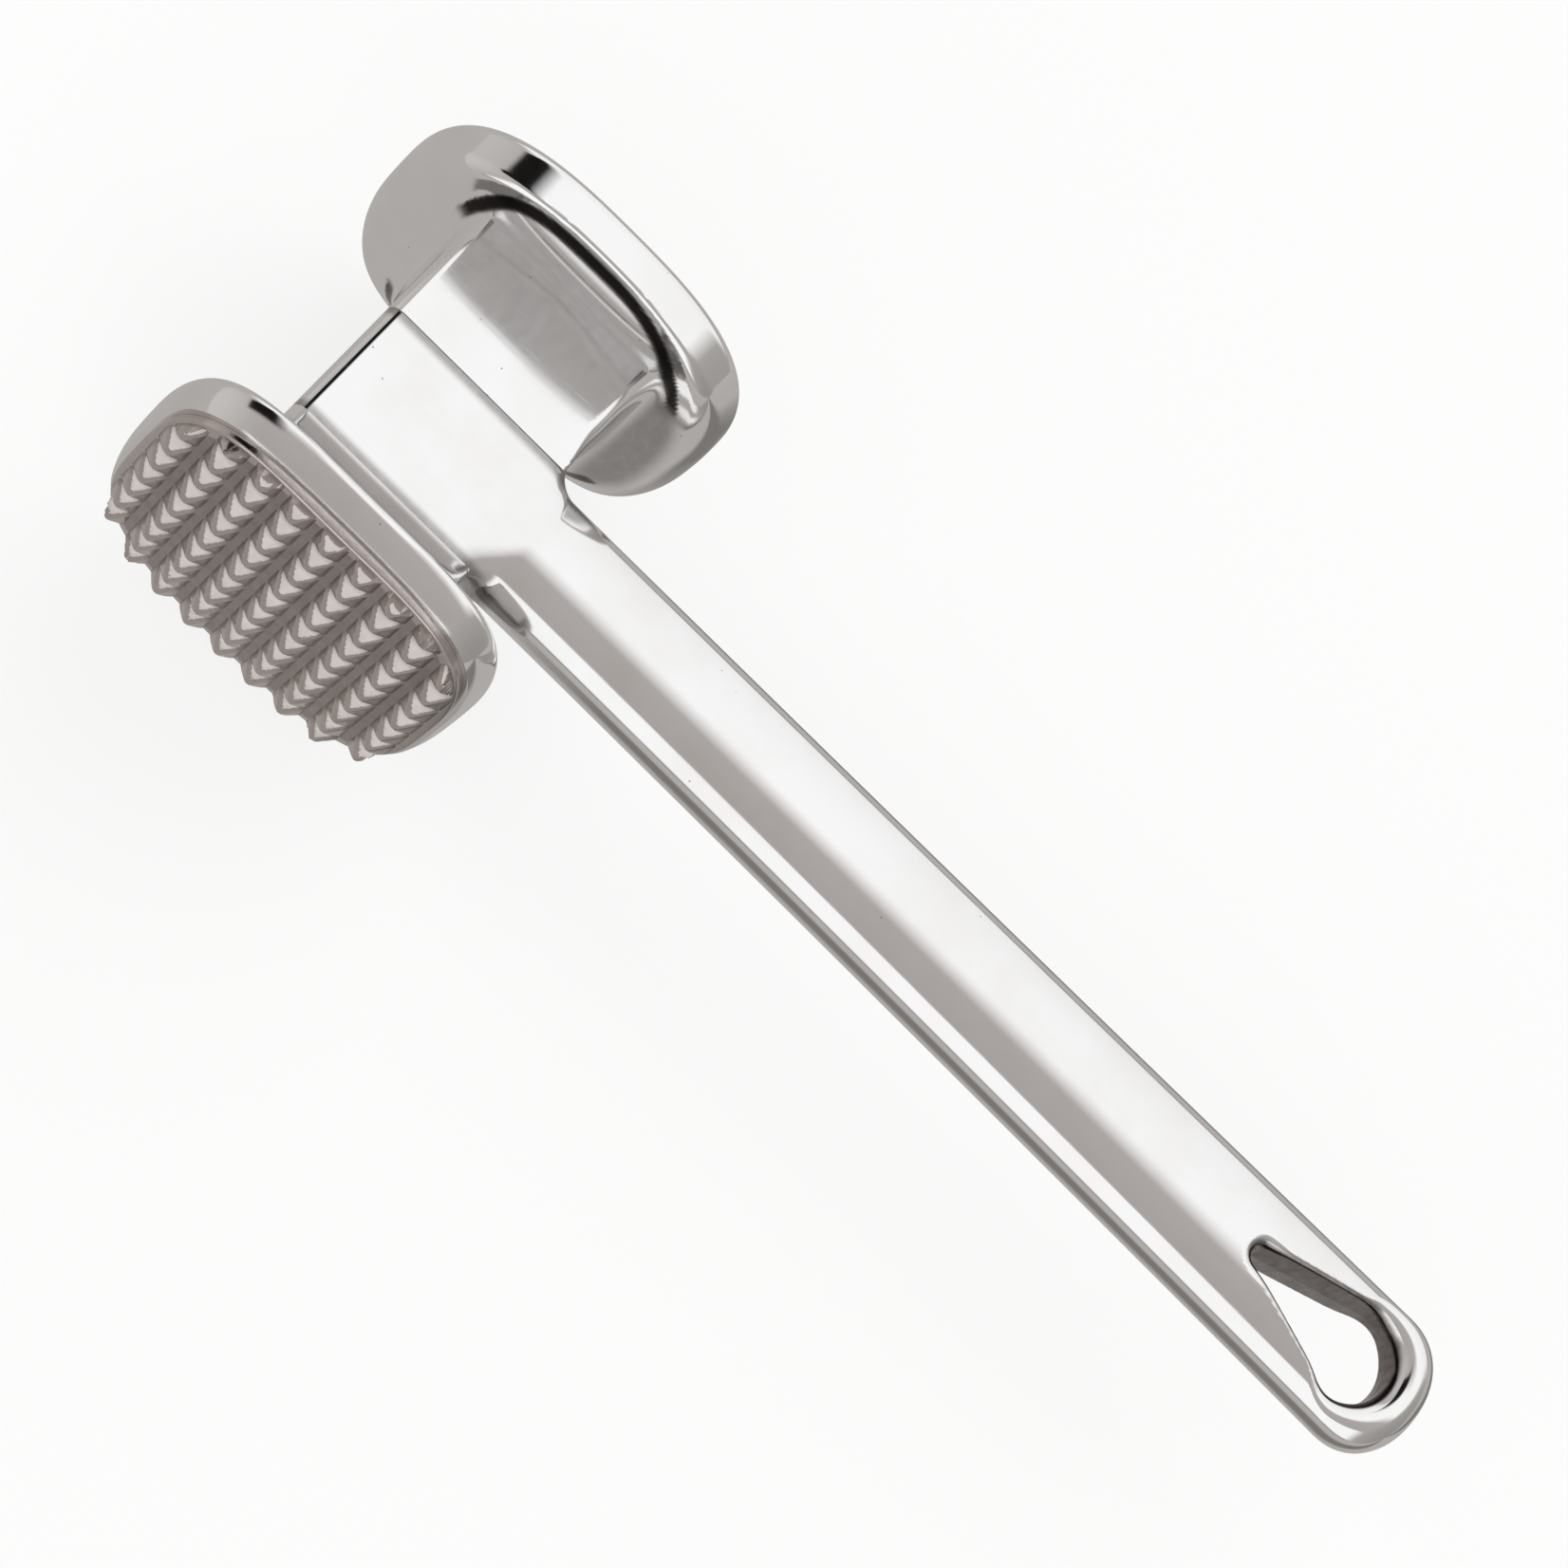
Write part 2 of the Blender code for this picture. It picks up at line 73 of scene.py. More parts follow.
# Where the pieces stand, from the frame's own nodes
HANDLE_LOW, HANDLE_HIGH = node_size("handle")
POUNDING_LOW, POUNDING_HIGH = node_size("pounding_head")
TENDERIZER_LOW, TENDERIZER_HIGH = node_size("tenderizer_head")
PLATE_LOW, PLATE_HIGH = node_size("tenderizer_plate")
CENTRE = np.array([(POUNDING_LOW[0] + POUNDING_HIGH[0]) / 2,
                   (HANDLE_LOW[1] + HANDLE_HIGH[1]) / 2,
                   (HANDLE_LOW[2] + HANDLE_HIGH[2]) / 2])

HANDLE_END_X = HANDLE_HIGH[0] - CENTRE[0]
BLOCK_END_X = CENTRE[0] - HANDLE_LOW[0]
BAR_HALF_HEIGHT = (HANDLE_HIGH[2] - HANDLE_LOW[2]) / 2
SHOULDER_HALF_WIDTH = (HANDLE_HIGH[1] - HANDLE_LOW[1]) / 2
FLANGE_HALF_WIDTH = (POUNDING_HIGH[0] - POUNDING_LOW[0]) / 2
FLANGE_HALF_HEIGHT = (POUNDING_HIGH[2] - POUNDING_LOW[2]) / 2
POUNDING_FACE_Y = POUNDING_HIGH[1] - CENTRE[1]
POUNDING_SEAT_Y = POUNDING_LOW[1] - CENTRE[1]
TENDERIZER_FACE_Y = CENTRE[1] - TENDERIZER_LOW[1]
PLATE_HALF_WIDTH = (PLATE_HIGH[0] - PLATE_LOW[0]) / 2
PLATE_HALF_HEIGHT = (PLATE_HIGH[2] - PLATE_LOW[2]) / 2
TOOTH_TIP_Y = CENTRE[1] - PLATE_LOW[1]
MESH_GAP = 0.3                 # what the frame's nodes leave between pieces that touch
SEAM = 0.03                    # what shows of it: a hairline
MARGIN = 1.5                   # room round a piece while it is meshed
ON_SKIN = 0.02                 # how near a point of the cast skin lies to its field's surface

# The bar
BAR_HALF_WIDTH_NECK = 11.2
BAR_HALF_WIDTH_END = 12.6
BAR_FLARE = 1.7
BAR_ROUNDNESS = 2.5            # exponent of the bar's section, rounder than it is at the neck
NECK_ROUNDNESS = 5.5
BAR_END_LENGTH = 10.6          # where the sides draw in to the rounded end
BAR_END_SQUARENESS = 2.2
NECK_FILLET = 3.2
BLOCK_CORNER = 2.6
SHOULDER_ROOM = 0.6            # left past the block's sides until the seats are cut
ROUNDING_START_X, ROUNDING_END_X = 17.0, 23.0
THROUGH = 20.0                 # half the length of a tool that cuts right through the block

# The hang hole
HOLE_CENTRE_FROM_END = 15.2
HOLE_RADIUS = 7.7
HOLE_LENGTH = 22.6
HOLE_APEX_RADIUS = 1.5
HOLE_DRAFT = 0.07              # slope of its wall, which is narrowest at the parting plane
APEX_LIP_GAIN, ROUND_LIP_GAIN = 1.2, 4.0   # how much wider its lip is at the two ends

# The necks
NECK_HALF_LENGTH = 18.3
NECK_CORNER = 2.4
SEAT_CORNER = 0.3              # the corner beside the bar, where the neck starts
CORNER_RUN = 7.0               # how soon that one grows to the full corner
RAMP_START_ANGLE, RAMP_END_ANGLE = 31.5, 59.3

# What holds the head together, which the castings are bored for
BOLT_BORE = 3.3
BOLT_BORE_END_Y = 25.3
BORE_START_Y = 5.0             # inside the block, so that each bore breaks through the seat
DOWEL_BORE = 2.3
DOWEL_REACH = 18.1
DOWEL_SPACING = 24.0
BOSS_BORE = 6.7
BOSS_BORE_FLOOR_Y = 20.9
BOSS_LENGTH = 2.7

# The teeth
TEETH_ACROSS = 9
TOOTH_PITCH = 6.65
TOOTH_HEIGHT = 2.5
TOOTH_GROOVE_X = 1.3
TOOTH_GROOVE_Z = 0.4
TOOTH_ROOT = 0.8
TOOTH_CORNER_REACH = 1.1       # a tooth further out in the plate's corners is left out
RIDGE_SHARPNESS = 12
PLATE_CROWN_RADIUS = 344.0
PLATE_SQUARENESS = 3.4
PLATE_EDGE = 0.45

# Painted shade and dark reflection in hollows, corners and the hole's wall, from 0 (bright) over
# painted grey to 1 (painted black)
GREY_SHADE_SHARE = 0.6
HOLE_WALL_SHARE = 0.6
BAR_CORNER_SHARE = 0.4
NECK_HOLLOW_SHARE = 0.4
TOOTHED_BACK_SHARE = 0.45
CHANNEL_X = 2.5                # the channel inside the pounding head's rim
CHANNEL_HALF_WIDTH, CHANNEL_HALF_HEIGHT = 24.0, 29.7
CHANNEL_SQUARENESS = (4.2, 2.5)   # towards -X and towards +X


# Sizes and colours that a user would change

class MalletSizes(PropertyGroup):
    cell: FloatProperty(
        name="Mesh Cell", description="Side of the cells for meshing the castings",
        default=0.5 * MM, min=0.3 * MM, unit="LENGTH")
    hole_lip: FloatProperty(
        name="Hole Lip", description="Radius of the lip round the hang hole", default=0.9 * MM,
        min=0.3 * MM, unit="LENGTH")
    fillet: FloatProperty(
        name="Neck Fillet", description="Radius where the neck runs into the flange",
        default=1.8 * MM, min=0.5 * MM, unit="LENGTH")
    tooth_point: FloatProperty(
        name="Tooth Point", description="Radius at the point of a tooth", default=0.3 * MM,
        min=0.05 * MM, unit="LENGTH")


class MalletFinish(PropertyGroup):
    polished: StringProperty(
        name="Polished Aluminium", description="Colour of the buffed castings", default="#F7F7F7")
    film: StringProperty(
        name="Handling Film", description="Colour of the faint film on the castings",
        default="#F3F2F1")
    toothed: StringProperty(
        name="Tumbled Aluminium", description="Colour of the toothed face", default="#D3CBC8")
    # Painted shade: the darker colour put low in the valleys between the teeth
    recess: StringProperty(
        name="Recess Grime", description="Colour in the valleys between the teeth",
        default="#8E8583")
    # Painted shade: the streaky grey put into hollows, corners and the hole's wall
    painted_shade: StringProperty(
        name="Unbuffed Aluminium", default="#A19B98",
        description="Colour where the wheel can't reach")
    # Painted dark reflection: the near-black put where the pounding head's channel is deepest
    compound: StringProperty(
        name="Polishing Compound", description="Colour in the deepest channel", default="#2B2928")
    steel: StringProperty(
        name="Steel", description="Colour of the bolt, the washer and the dowels",
        default="#A7A9AB")
    polish: FloatProperty(
        name="Polish Roughness", description="Roughness of the buffed castings", default=0.07,
        min=0.0, max=1.0, subtype="FACTOR")


class MalletStudio(PropertyGroup):
    floor: StringProperty(name="Floor", description="Colour of the floor", default="#FCFCFC")
    azimuth: FloatProperty(
        name="Camera Azimuth", description="Line of view, from +Y towards -X",
        default=math.radians(-13.49), subtype="ANGLE")
    elevation: FloatProperty(
        name="Camera Elevation", description="Height of the camera over the floor",
        default=math.radians(62.87), subtype="ANGLE")
    roll: FloatProperty(
        name="Camera Roll", description="Turn of the camera about its line of view",
        default=math.radians(56.6), subtype="ANGLE")
    distance: FloatProperty(
        name="Camera Distance", description="From the camera to its target", default=875.3 * MM,
        unit="LENGTH")
    lens: FloatProperty(name="Lens", description="Focal length in millimetres", default=129.8)
    target: FloatVectorProperty(
        name="Camera Target", description="Point in the middle of the view", default=(-16.0 * MM,
        3.3 * MM, 31.4 * MM), subtype="TRANSLATION")


# Materials. A pattern's scale is 1 over its size in millimetres.

BLACK, WHITE = (0.0, 0.0, 0.0, 1.0), (1.0, 1.0, 1.0, 1.0)


def linear(colour):
    """An sRGB hex colour as linear values."""
    channels = [int(colour[i:i + 2], 16) / 255 for i in (1, 3, 5)]
    return (*[c / 12.92 if c <= 0.04045 else ((c + 0.055) / 1.055) ** 2.4 for c in channels], 1.0)


def add(tree, kind, inputs=None, stops=None, **settings):
    """Add a node with its settings, its inputs (values, sockets or nodes) and a ramp's stops."""
    node = tree.nodes.new("ShaderNode" + kind)
    for name, value in settings.items():
        setattr(node, name, value)
    for name, value in (inputs or {}).items():
        if isinstance(value, bpy.types.Node):
            value = next(socket for socket in value.outputs if socket.enabled)
        if isinstance(value, bpy.types.NodeSocket):
            tree.links.new(value, node.inputs[name])
        else:
            node.inputs[name].default_value = value
    if stops:
        ramp = node.color_ramp
        while len(ramp.elements) < len(stops):
            ramp.elements.new(1.0)
        for element, (place, colour) in zip(ramp.elements, stops):
            element.position = place
            element.color = colour
    return node


def new_material(name):
    material = bpy.data.materials.new(name)
    material.use_nodes = True
    material.node_tree.nodes.clear()
    return material, material.node_tree


def close_material(tree, inputs):
    """End a material with one shader that has those inputs."""
    add(tree, "OutputMaterial", {"Surface": add(tree, "BsdfPrincipled", inputs)})


def scaled_coordinates(tree, stretch=(1.0, 1.0, 1.0), turn=(0.0, 0.0, 0.0)):
    """Object coordinates in millimetres, stretched and turned for patterns with a direction."""
    place = add(tree, "TexCoord")
    return add(tree, "Mapping", {
        "Vector": place.outputs["Object"], "Rotation": turn,
        "Scale": tuple(s / MM for s in stretch)})


def scratches(tree, turn, spacing, length):
    """Fine scratches of one direction: 1 in a scratch, 0 beside it."""
    across = (1 / length, 1 / spacing, 1 / spacing)
    streaks = add(tree, "TexNoise", {
        "Vector": scaled_coordinates(tree, across, turn),
        "Scale": 1.0, "Detail": 2.0, "Roughness": 0.6})
    return add(tree, "ValToRGB", {"Fac": streaks}, stops=[
        (0.0, BLACK), (0.62, BLACK), (0.72, WHITE), (1.0, WHITE)])


def buffed_cast_aluminium(finish):
    """Cast aluminium, buffed on a wheel.

    It mirrors the room softly, with faint waves from the casting, wheel marks along the pieces, a
    few pits and a slightly duller film where it is handled. Its hollows, corners and hole wall get
    painted shade: a streaky grey, and a painted black reflection where the channel is deepest.
    """
    material, tree = new_material("buffed_cast_aluminium")
    millimetres = scaled_coordinates(tree)
    clouds = add(tree, "TexNoise", {
        "Vector": millimetres, "Scale": 1 / 14.0, "Detail": 4.0, "Roughness": 0.55})
    film = add(tree, "MapRange", {"Value": clouds, "From Min": 0.42, "From Max": 0.68})
    marks = scratches(tree, (0.0, 0.0, math.radians(4)), 0.22, 14.0)
    strays = scratches(tree, (0.0, 0.0, math.radians(61)), 0.3, 7.0)
    all_marks = add(tree, "Math", {0: marks, 1: strays}, operation="MAXIMUM")
    # Foundry pits about 0.4 mm across, some 5 mm apart
    cells = add(tree, "TexVoronoi", {"Vector": millimetres, "Scale": 1 / 5.0})
    pits = add(tree, "MapRange", {
        "Value": cells, "From Min": 0.018, "From Max": 0.035, "To Min": 1.0, "To Max": 0.0})
    shape = add(tree, "NewGeometry")
    worn = add(tree, "MapRange", {
        "Value": shape.outputs["Pointiness"], "From Min": 0.52, "From Max": 0.58})

    colour = add(tree, "Mix", {
        "Factor": film, "A": linear(finish.polished), "B": linear(finish.film)}, data_type="RGBA")
    pitted = add(tree, "Mix", {
        "Factor": pits, "A": colour, "B": linear("#8C8784")}, data_type="RGBA")

    # Painted shade: where the mark is set, in hollows, corners and the hole's wall, the colour
    # turns a streaky grey, and a painted black reflection goes where the channel is deepest
    reach = add(tree, "Attribute", attribute_name="painted_shade")
    streaks = add(tree, "TexNoise", {
        "Vector": scaled_coordinates(tree, (1.0, 1.0, 0.4)), "Scale": 1 / 1.2, "Detail": 4.0})
    tone_share = add(tree, "MapRange", {
        "Value": streaks, "From Min": 0.3, "From Max": 0.7, "To Min": 0.4, "To Max": 0.75})
    shade_tone = add(tree, "Mix", {
        "Factor": tone_share, "A": linear(finish.compound), "B": linear(finish.painted_shade)},
        data_type="RGBA")
    grey_shade_share = add(tree, "MapRange", {"Value": reach.outputs["Fac"], "From Max": GREY_SHADE_SHARE})
    grey_shaded = add(tree, "Mix", {
        "Factor": grey_shade_share, "A": pitted, "B": shade_tone}, data_type="RGBA")
    deepest = add(tree, "MapRange", {"Value": reach.outputs["Fac"], "From Min": GREY_SHADE_SHARE})
    cast = add(tree, "Mix", {
        "Factor": deepest, "A": grey_shaded, "B": linear(finish.compound)}, data_type="RGBA")
    dull_film = add(tree, "MapRange", {
        "Value": film, "To Min": finish.polish, "To Max": finish.polish + 0.03})
    dull = add(tree, "Math", {
        0: reach.outputs["Fac"], 1: 0.16, 2: dull_film}, operation="MULTIPLY_ADD")
    marked = add(tree, "Math", {0: all_marks, 1: 0.05, 2: dull}, operation="MULTIPLY_ADD")
    rubbed = add(tree, "Math", {0: worn, 1: 0.04, 2: marked}, operation="MULTIPLY_ADD")

    waves = add(tree, "TexNoise", {
        "Vector": millimetres, "Scale": 1 / 9.0, "Detail": 1.0, "Roughness": 0.4})
    soft = add(tree, "Bump", {"Height": waves, "Strength": 0.2, "Distance": 0.04 * MM})
    dents = add(tree, "Math", {0: pits, 1: -1.0}, operation="MULTIPLY")
    pitting = add(tree, "Bump", {
        "Height": dents, "Strength": 0.5, "Distance": 0.02 * MM, "Normal": soft})
    lines = add(tree, "Bump", {
        "Height": all_marks, "Strength": 0.12, "Distance": 0.004 * MM, "Normal": pitting})
    close_material(tree, {
        "Base Color": cast, "Metallic": 1.0, "Roughness": rubbed, "Normal": lines})
    return material


def tumbled_cast_aluminium(finish):
    """Cast aluminium, tumbled bright after casting but not buffed.

    The teeth's flanks keep a fine casting grain and reflect in broad patches. Their points keep the
    bright colour, and the valleys are painted a darker brown-grey, a painted shade; random patches
    darken the colour a little.
    """
    material, tree = new_material("tumbled_cast_aluminium")
    millimetres = scaled_coordinates(tree)
    patches = add(tree, "TexNoise", {
        "Vector": millimetres, "Scale": 1 / 3.5, "Detail": 5.0, "Roughness": 0.65})
    grain = add(tree, "TexNoise", {
        "Vector": millimetres, "Scale": 1 / 0.45, "Detail": 3.0, "Roughness": 0.6})
    depth = add(tree, "Attribute", attribute_name="tooth_height")
    # Painted shade: the colour darkens low in the valleys between the teeth, and random patches add
    # a little uneven tone
    low = add(tree, "MapRange", {
        "Value": depth.outputs["Fac"], "From Max": 0.3, "To Min": 0.6, "To Max": 0.0})
    spotted = add(tree, "MapRange", {
        "Value": patches, "From Min": 0.3, "From Max": 0.7, "To Max": 0.25})
    valley_shade_and_patches = add(tree, "Math", {0: low, 1: spotted}, operation="ADD", use_clamp=True)
    colour = add(tree, "Mix", {
        "Factor": valley_shade_and_patches, "A": linear(finish.toothed), "B": linear(finish.recess)}, data_type="RGBA")
    rough = add(tree, "MapRange", {"Value": valley_shade_and_patches, "To Min": 0.09, "To Max": 0.25})
    skin_bump = add(tree, "Bump", {"Height": grain, "Strength": 0.5, "Distance": 0.03 * MM})
    uneven = add(tree, "Bump", {
        "Height": patches, "Strength": 0.5, "Distance": 0.12 * MM, "Normal": skin_bump})
    close_material(tree, {
        "Base Color": colour, "Metallic": 1.0, "Roughness": rough, "Normal": uneven})
    return material


def turned_steel(finish):
    """Plain carbon steel, turned and ground. Fine rings round the axis break its highlights."""
    material, tree = new_material("turned_steel")
    # Tool marks 0.15 mm apart along the pins' axis
    rings = add(tree, "TexWave", {
        "Vector": scaled_coordinates(tree), "Scale": 1 / 0.15 / 20,
        "Distortion": 0.6, "Detail": 2.0}, bands_direction="Y")
    stains = add(tree, "TexNoise", {
        "Vector": scaled_coordinates(tree), "Scale": 1 / 2.5, "Detail": 4.0})
    colour = add(tree, "Mix", {
        "Factor": stains, "A": linear(finish.steel), "B": linear("#7D7C7B")}, data_type="RGBA")
    rough = add(tree, "MapRange", {"Value": stains, "To Min": 0.26, "To Max": 0.42})
    marks = add(tree, "Bump", {
        "Height": rings.outputs["Fac"], "Strength": 0.3, "Distance": 0.01 * MM})
    close_material(tree, {
        "Base Color": colour, "Metallic": 1.0, "Roughness": rough, "Normal": marks})
    return material


# Shapes as distance fields. Each takes points in millimetres and gives the distance to the
# surface, negative inside the metal.

def smooth_step(low, high, value):
    share = np.clip((value - low) / (high - low), 0.0, 1.0)
    return share * share * (3 - 2 * share)


def round_meet(first, second, radius):
    """What two shapes share, with a round edge of that radius where their surfaces meet."""
    nearest = np.maximum(first, second)
    outer = np.hypot(np.maximum(first + radius, 0), np.maximum(second + radius, 0))
    return np.where(nearest < -radius, nearest, outer - radius)


def fillet_join(first, second, radius):
    """Two shapes joined, with a fillet of about that radius."""
    share = np.maximum(radius - np.abs(first - second), 0.0) / radius
    return np.minimum(first, second) - share * share * radius / 4


def outline_distance(u, v, half_u, half_v, squareness):
    """Distance to a superellipse, and the point's share of the way out to it."""
    u, v = np.abs(u) + 1e-6, np.abs(v) + 1e-6
    sum_of_powers = (u / half_u) ** squareness + (v / half_v) ** squareness
    share = sum_of_powers ** (1 / squareness)
    slope = share ** (1 - squareness)
    steep = np.hypot(slope * (u / half_u) ** (squareness - 1) / half_u,
                     slope * (v / half_v) ** (squareness - 1) / half_v)
    return (share - 1) / steep, share


def round_join(first, second, radius):
    """Two shapes joined, with a round inside corner of that radius."""
    corner = np.hypot(np.maximum(radius - first, 0.0), np.maximum(radius - second, 0.0))
    return np.maximum(radius, np.minimum(first, second)) - corner


def bar_half_width(x):
    """Half the bar's width, past the fillet where it leaves the head."""
    fillet_end = BLOCK_END_X + MESH_GAP + NECK_FILLET
    end_start = HANDLE_END_X - BAR_END_LENGTH
    share = np.clip((x - fillet_end) / (end_start - fillet_end), 0.0, 1.0)
    return BAR_HALF_WIDTH_NECK + (BAR_HALF_WIDTH_END - BAR_HALF_WIDTH_NECK) * share ** BAR_FLARE


def hole_distance(x, y):
    """Distance to the teardrop in plan, negative in the hole."""
    centre = HANDLE_END_X - HOLE_CENTRE_FROM_END
    apex = centre - HOLE_LENGTH + HOLE_APEX_RADIUS
    length = centre - apex
    lean = (HOLE_RADIUS - HOLE_APEX_RADIUS) / length
    along_flank = math.sqrt(1 - lean * lean)
    back, side = centre - x, np.abs(y)
    along = back * along_flank - side * lean
    round_end = np.hypot(back, side) - HOLE_RADIUS
    narrow_end = np.hypot(back - length, side) - HOLE_APEX_RADIUS
    flank = back * lean + side * along_flank - HOLE_RADIUS
    return np.where(along < 0, round_end, np.where(along > along_flank * length, narrow_end, flank))


def handle_field(points, sizes):
    """The bar, the block between the heads and the hang hole with its round lip.

    The section is squarer by the head than along the bar, and one grows into the other.
    """
    x, y, z = points[..., 0], points[..., 1], points[..., 2]
    half_width = bar_half_width(x)
    side = round_join(np.abs(y) - half_width, x - BLOCK_END_X - MESH_GAP, NECK_FILLET)
    share = smooth_step(ROUNDING_START_X, ROUNDING_END_X, x)
    roundness = NECK_ROUNDNESS + (BAR_ROUNDNESS - NECK_ROUNDNESS) * share
    end_start = HANDLE_END_X - BAR_END_LENGTH
    past = np.maximum(x - end_start, 0.0) / BAR_END_LENGTH
    across = np.maximum(side / half_width + 1, 0.0) + 1e-6
    plan = (past ** BAR_END_SQUARENESS + across ** BAR_END_SQUARENESS) ** (1 / BAR_END_SQUARENESS)
    height = np.abs(z) / BAR_HALF_HEIGHT + 1e-6
    section = (plan ** roundness + height ** roundness) ** (1 / roundness)
    fall = section ** (1 - roundness)
    plan_fall = plan ** (1 - BAR_END_SQUARENESS)
    steep = np.sqrt((fall * height ** (roundness - 1) / BAR_HALF_HEIGHT) ** 2
                    + (fall * plan ** (roundness - 1)) ** 2
                    * ((plan_fall * across ** (BAR_END_SQUARENESS - 1) / half_width) ** 2
                       + (plan_fall * past ** (BAR_END_SQUARENESS - 1) / BAR_END_LENGTH) ** 2))
    bar = round_meet((section - 1) / steep, -BLOCK_END_X - x, BLOCK_CORNER)
    bar = np.maximum(bar, np.abs(y) - SHOULDER_HALF_WIDTH - SHOULDER_ROOM)
    centre = HANDLE_END_X - HOLE_CENTRE_FROM_END
    apex = centre - HOLE_LENGTH
    wider = (APEX_LIP_GAIN * (1 - smooth_step(apex - 1.0, apex + 6.0, x))
             + ROUND_LIP_GAIN * smooth_step(centre - 6.0, centre + 4.0, x))
    drafted = hole_distance(x, y) - HOLE_DRAFT * np.abs(z)
    return round_meet(bar, -drafted, sizes.hole_lip / MM * (1 + wider))


def ramp_height(y, seat_y, length):
    """Half the neck's height, and the slope of its ramp."""
    share = np.clip((y - seat_y) / length, -0.2, 1.2)
    low, high = math.tan(math.radians(RAMP_START_ANGLE)), math.tan(math.radians(RAMP_END_ANGLE))
    return (BAR_HALF_HEIGHT + length * (low * share + (high - low) * share ** 2 / 2),
            low + (high - low) * share)


def head_field(points, side, shape, sizes):
    """A neck with its two ramps, running into a flange with a dished back.

    The flange's rim draws in towards its back at the sides, and hardly above and below.
    """
    x, y, z = points[..., 0], points[..., 1] * side, points[..., 2]
    seat_y = POUNDING_SEAT_Y - MESH_GAP
    height, slope = ramp_height(y, seat_y, shape["ramp_length"])
    ramp = (np.abs(z) - height) / np.sqrt(1 + slope ** 2)
    crest = math.radians(shape["crest_angle"])
    crest_height = shape["crest_z"] + math.tan(crest) * (y - shape["crest_y"])
    cap = (np.abs(z) - crest_height) * math.cos(crest)
    neck = round_meet(ramp, cap, shape["crest_radius"])
    beside_bar = smooth_step(seat_y, seat_y + CORNER_RUN, y)
    corner = np.where(x > 0, SEAT_CORNER + (NECK_CORNER - SEAT_CORNER) * beside_bar, NECK_CORNER)
    neck = round_meet(neck, np.abs(x) - NECK_HALF_LENGTH, corner)
    neck = np.maximum(neck, y - shape["neck_end_y"])

    rim, out = outline_distance(x, z, FLANGE_HALF_WIDTH, FLANGE_HALF_HEIGHT, shape["squareness"])
    behind = np.clip(shape["widest_y"] - y, 0.0, None)
    over, aside = (z / FLANGE_HALF_HEIGHT) ** 2, (x / FLANGE_HALF_WIDTH) ** 2
    upright = over / (aside + over + 0.004)
    rim = rim + shape["back_taper"] * (1.02 - smooth_step(0.1, 0.6, upright)) * (behind / 5.0) ** 2
    rim_back = shape["rim_back_side_y"] + (shape["rim_back_y"] - shape["rim_back_side_y"]) * upright
    rise = np.clip(out, 0.0, 1.3) ** shape["dish_power"]
    back = (shape["back_y"] + (rim_back - shape["back_y"]) * rise - y) * 0.85
    back_edge = (shape["back_edge_side"]
                 + (shape["back_edge"] - shape["back_edge_side"]) * smooth_step(-0.3, 1.0, upright))
    flange = round_meet(rim, back, back_edge)
    flange = round_meet(flange, y - shape["edge_plane_y"], shape["front_edge"])
    fillet = sizes.fillet / MM * (1 + 1.8 * (1 - upright))
    return fillet_join(neck, flange, fillet)


# A y counts outwards from the middle of the block
POUNDING_SHAPE = {
    "ramp_length": 14.5, "crest_y": 26.0, "crest_z": 24.0, "crest_angle": 15.0, "crest_radius": 1.5,
    "squareness": 2.75, "widest_y": 34.0, "back_taper": 0.3,
    "rim_back_y": 29.2, "rim_back_side_y": 26.0, "dish_power": 3.0, "back_y": 24.4,
    "back_edge": 0.4, "back_edge_side": 5.5, "front_edge": 2.5,
    "edge_plane_y": POUNDING_FACE_Y, "face_y": POUNDING_FACE_Y, "neck_end_y": POUNDING_FACE_Y - 9.0,
}
TENDERIZER_SHAPE = {
    "ramp_length": 13.1, "crest_y": 24.6, "crest_z": 19.6, "crest_angle": 25.0, "crest_radius": 1.6,
    "squareness": 3.4, "widest_y": 27.5, "back_taper": 0.5,
    "rim_back_y": 26.6, "rim_back_side_y": 24.4, "dish_power": 3.0, "back_y": 22.6,
    "back_edge": 0.7, "back_edge_side": 3.5, "front_edge": 11.5,
    "edge_plane_y": 38.2, "face_y": TENDERIZER_FACE_Y, "neck_end_y": TENDERIZER_FACE_Y - 4.0,
}


# From a field to a mesh

def gradient(field, points, step=0.02):
    """The direction in which the field grows, at each point."""
    parts = []
    for axis in range(3):
        move = np.zeros(3)
        move[axis] = step
        parts.append((field(points + move) - field(points - move)) / (2 * step))
    return np.stack(parts, -1)


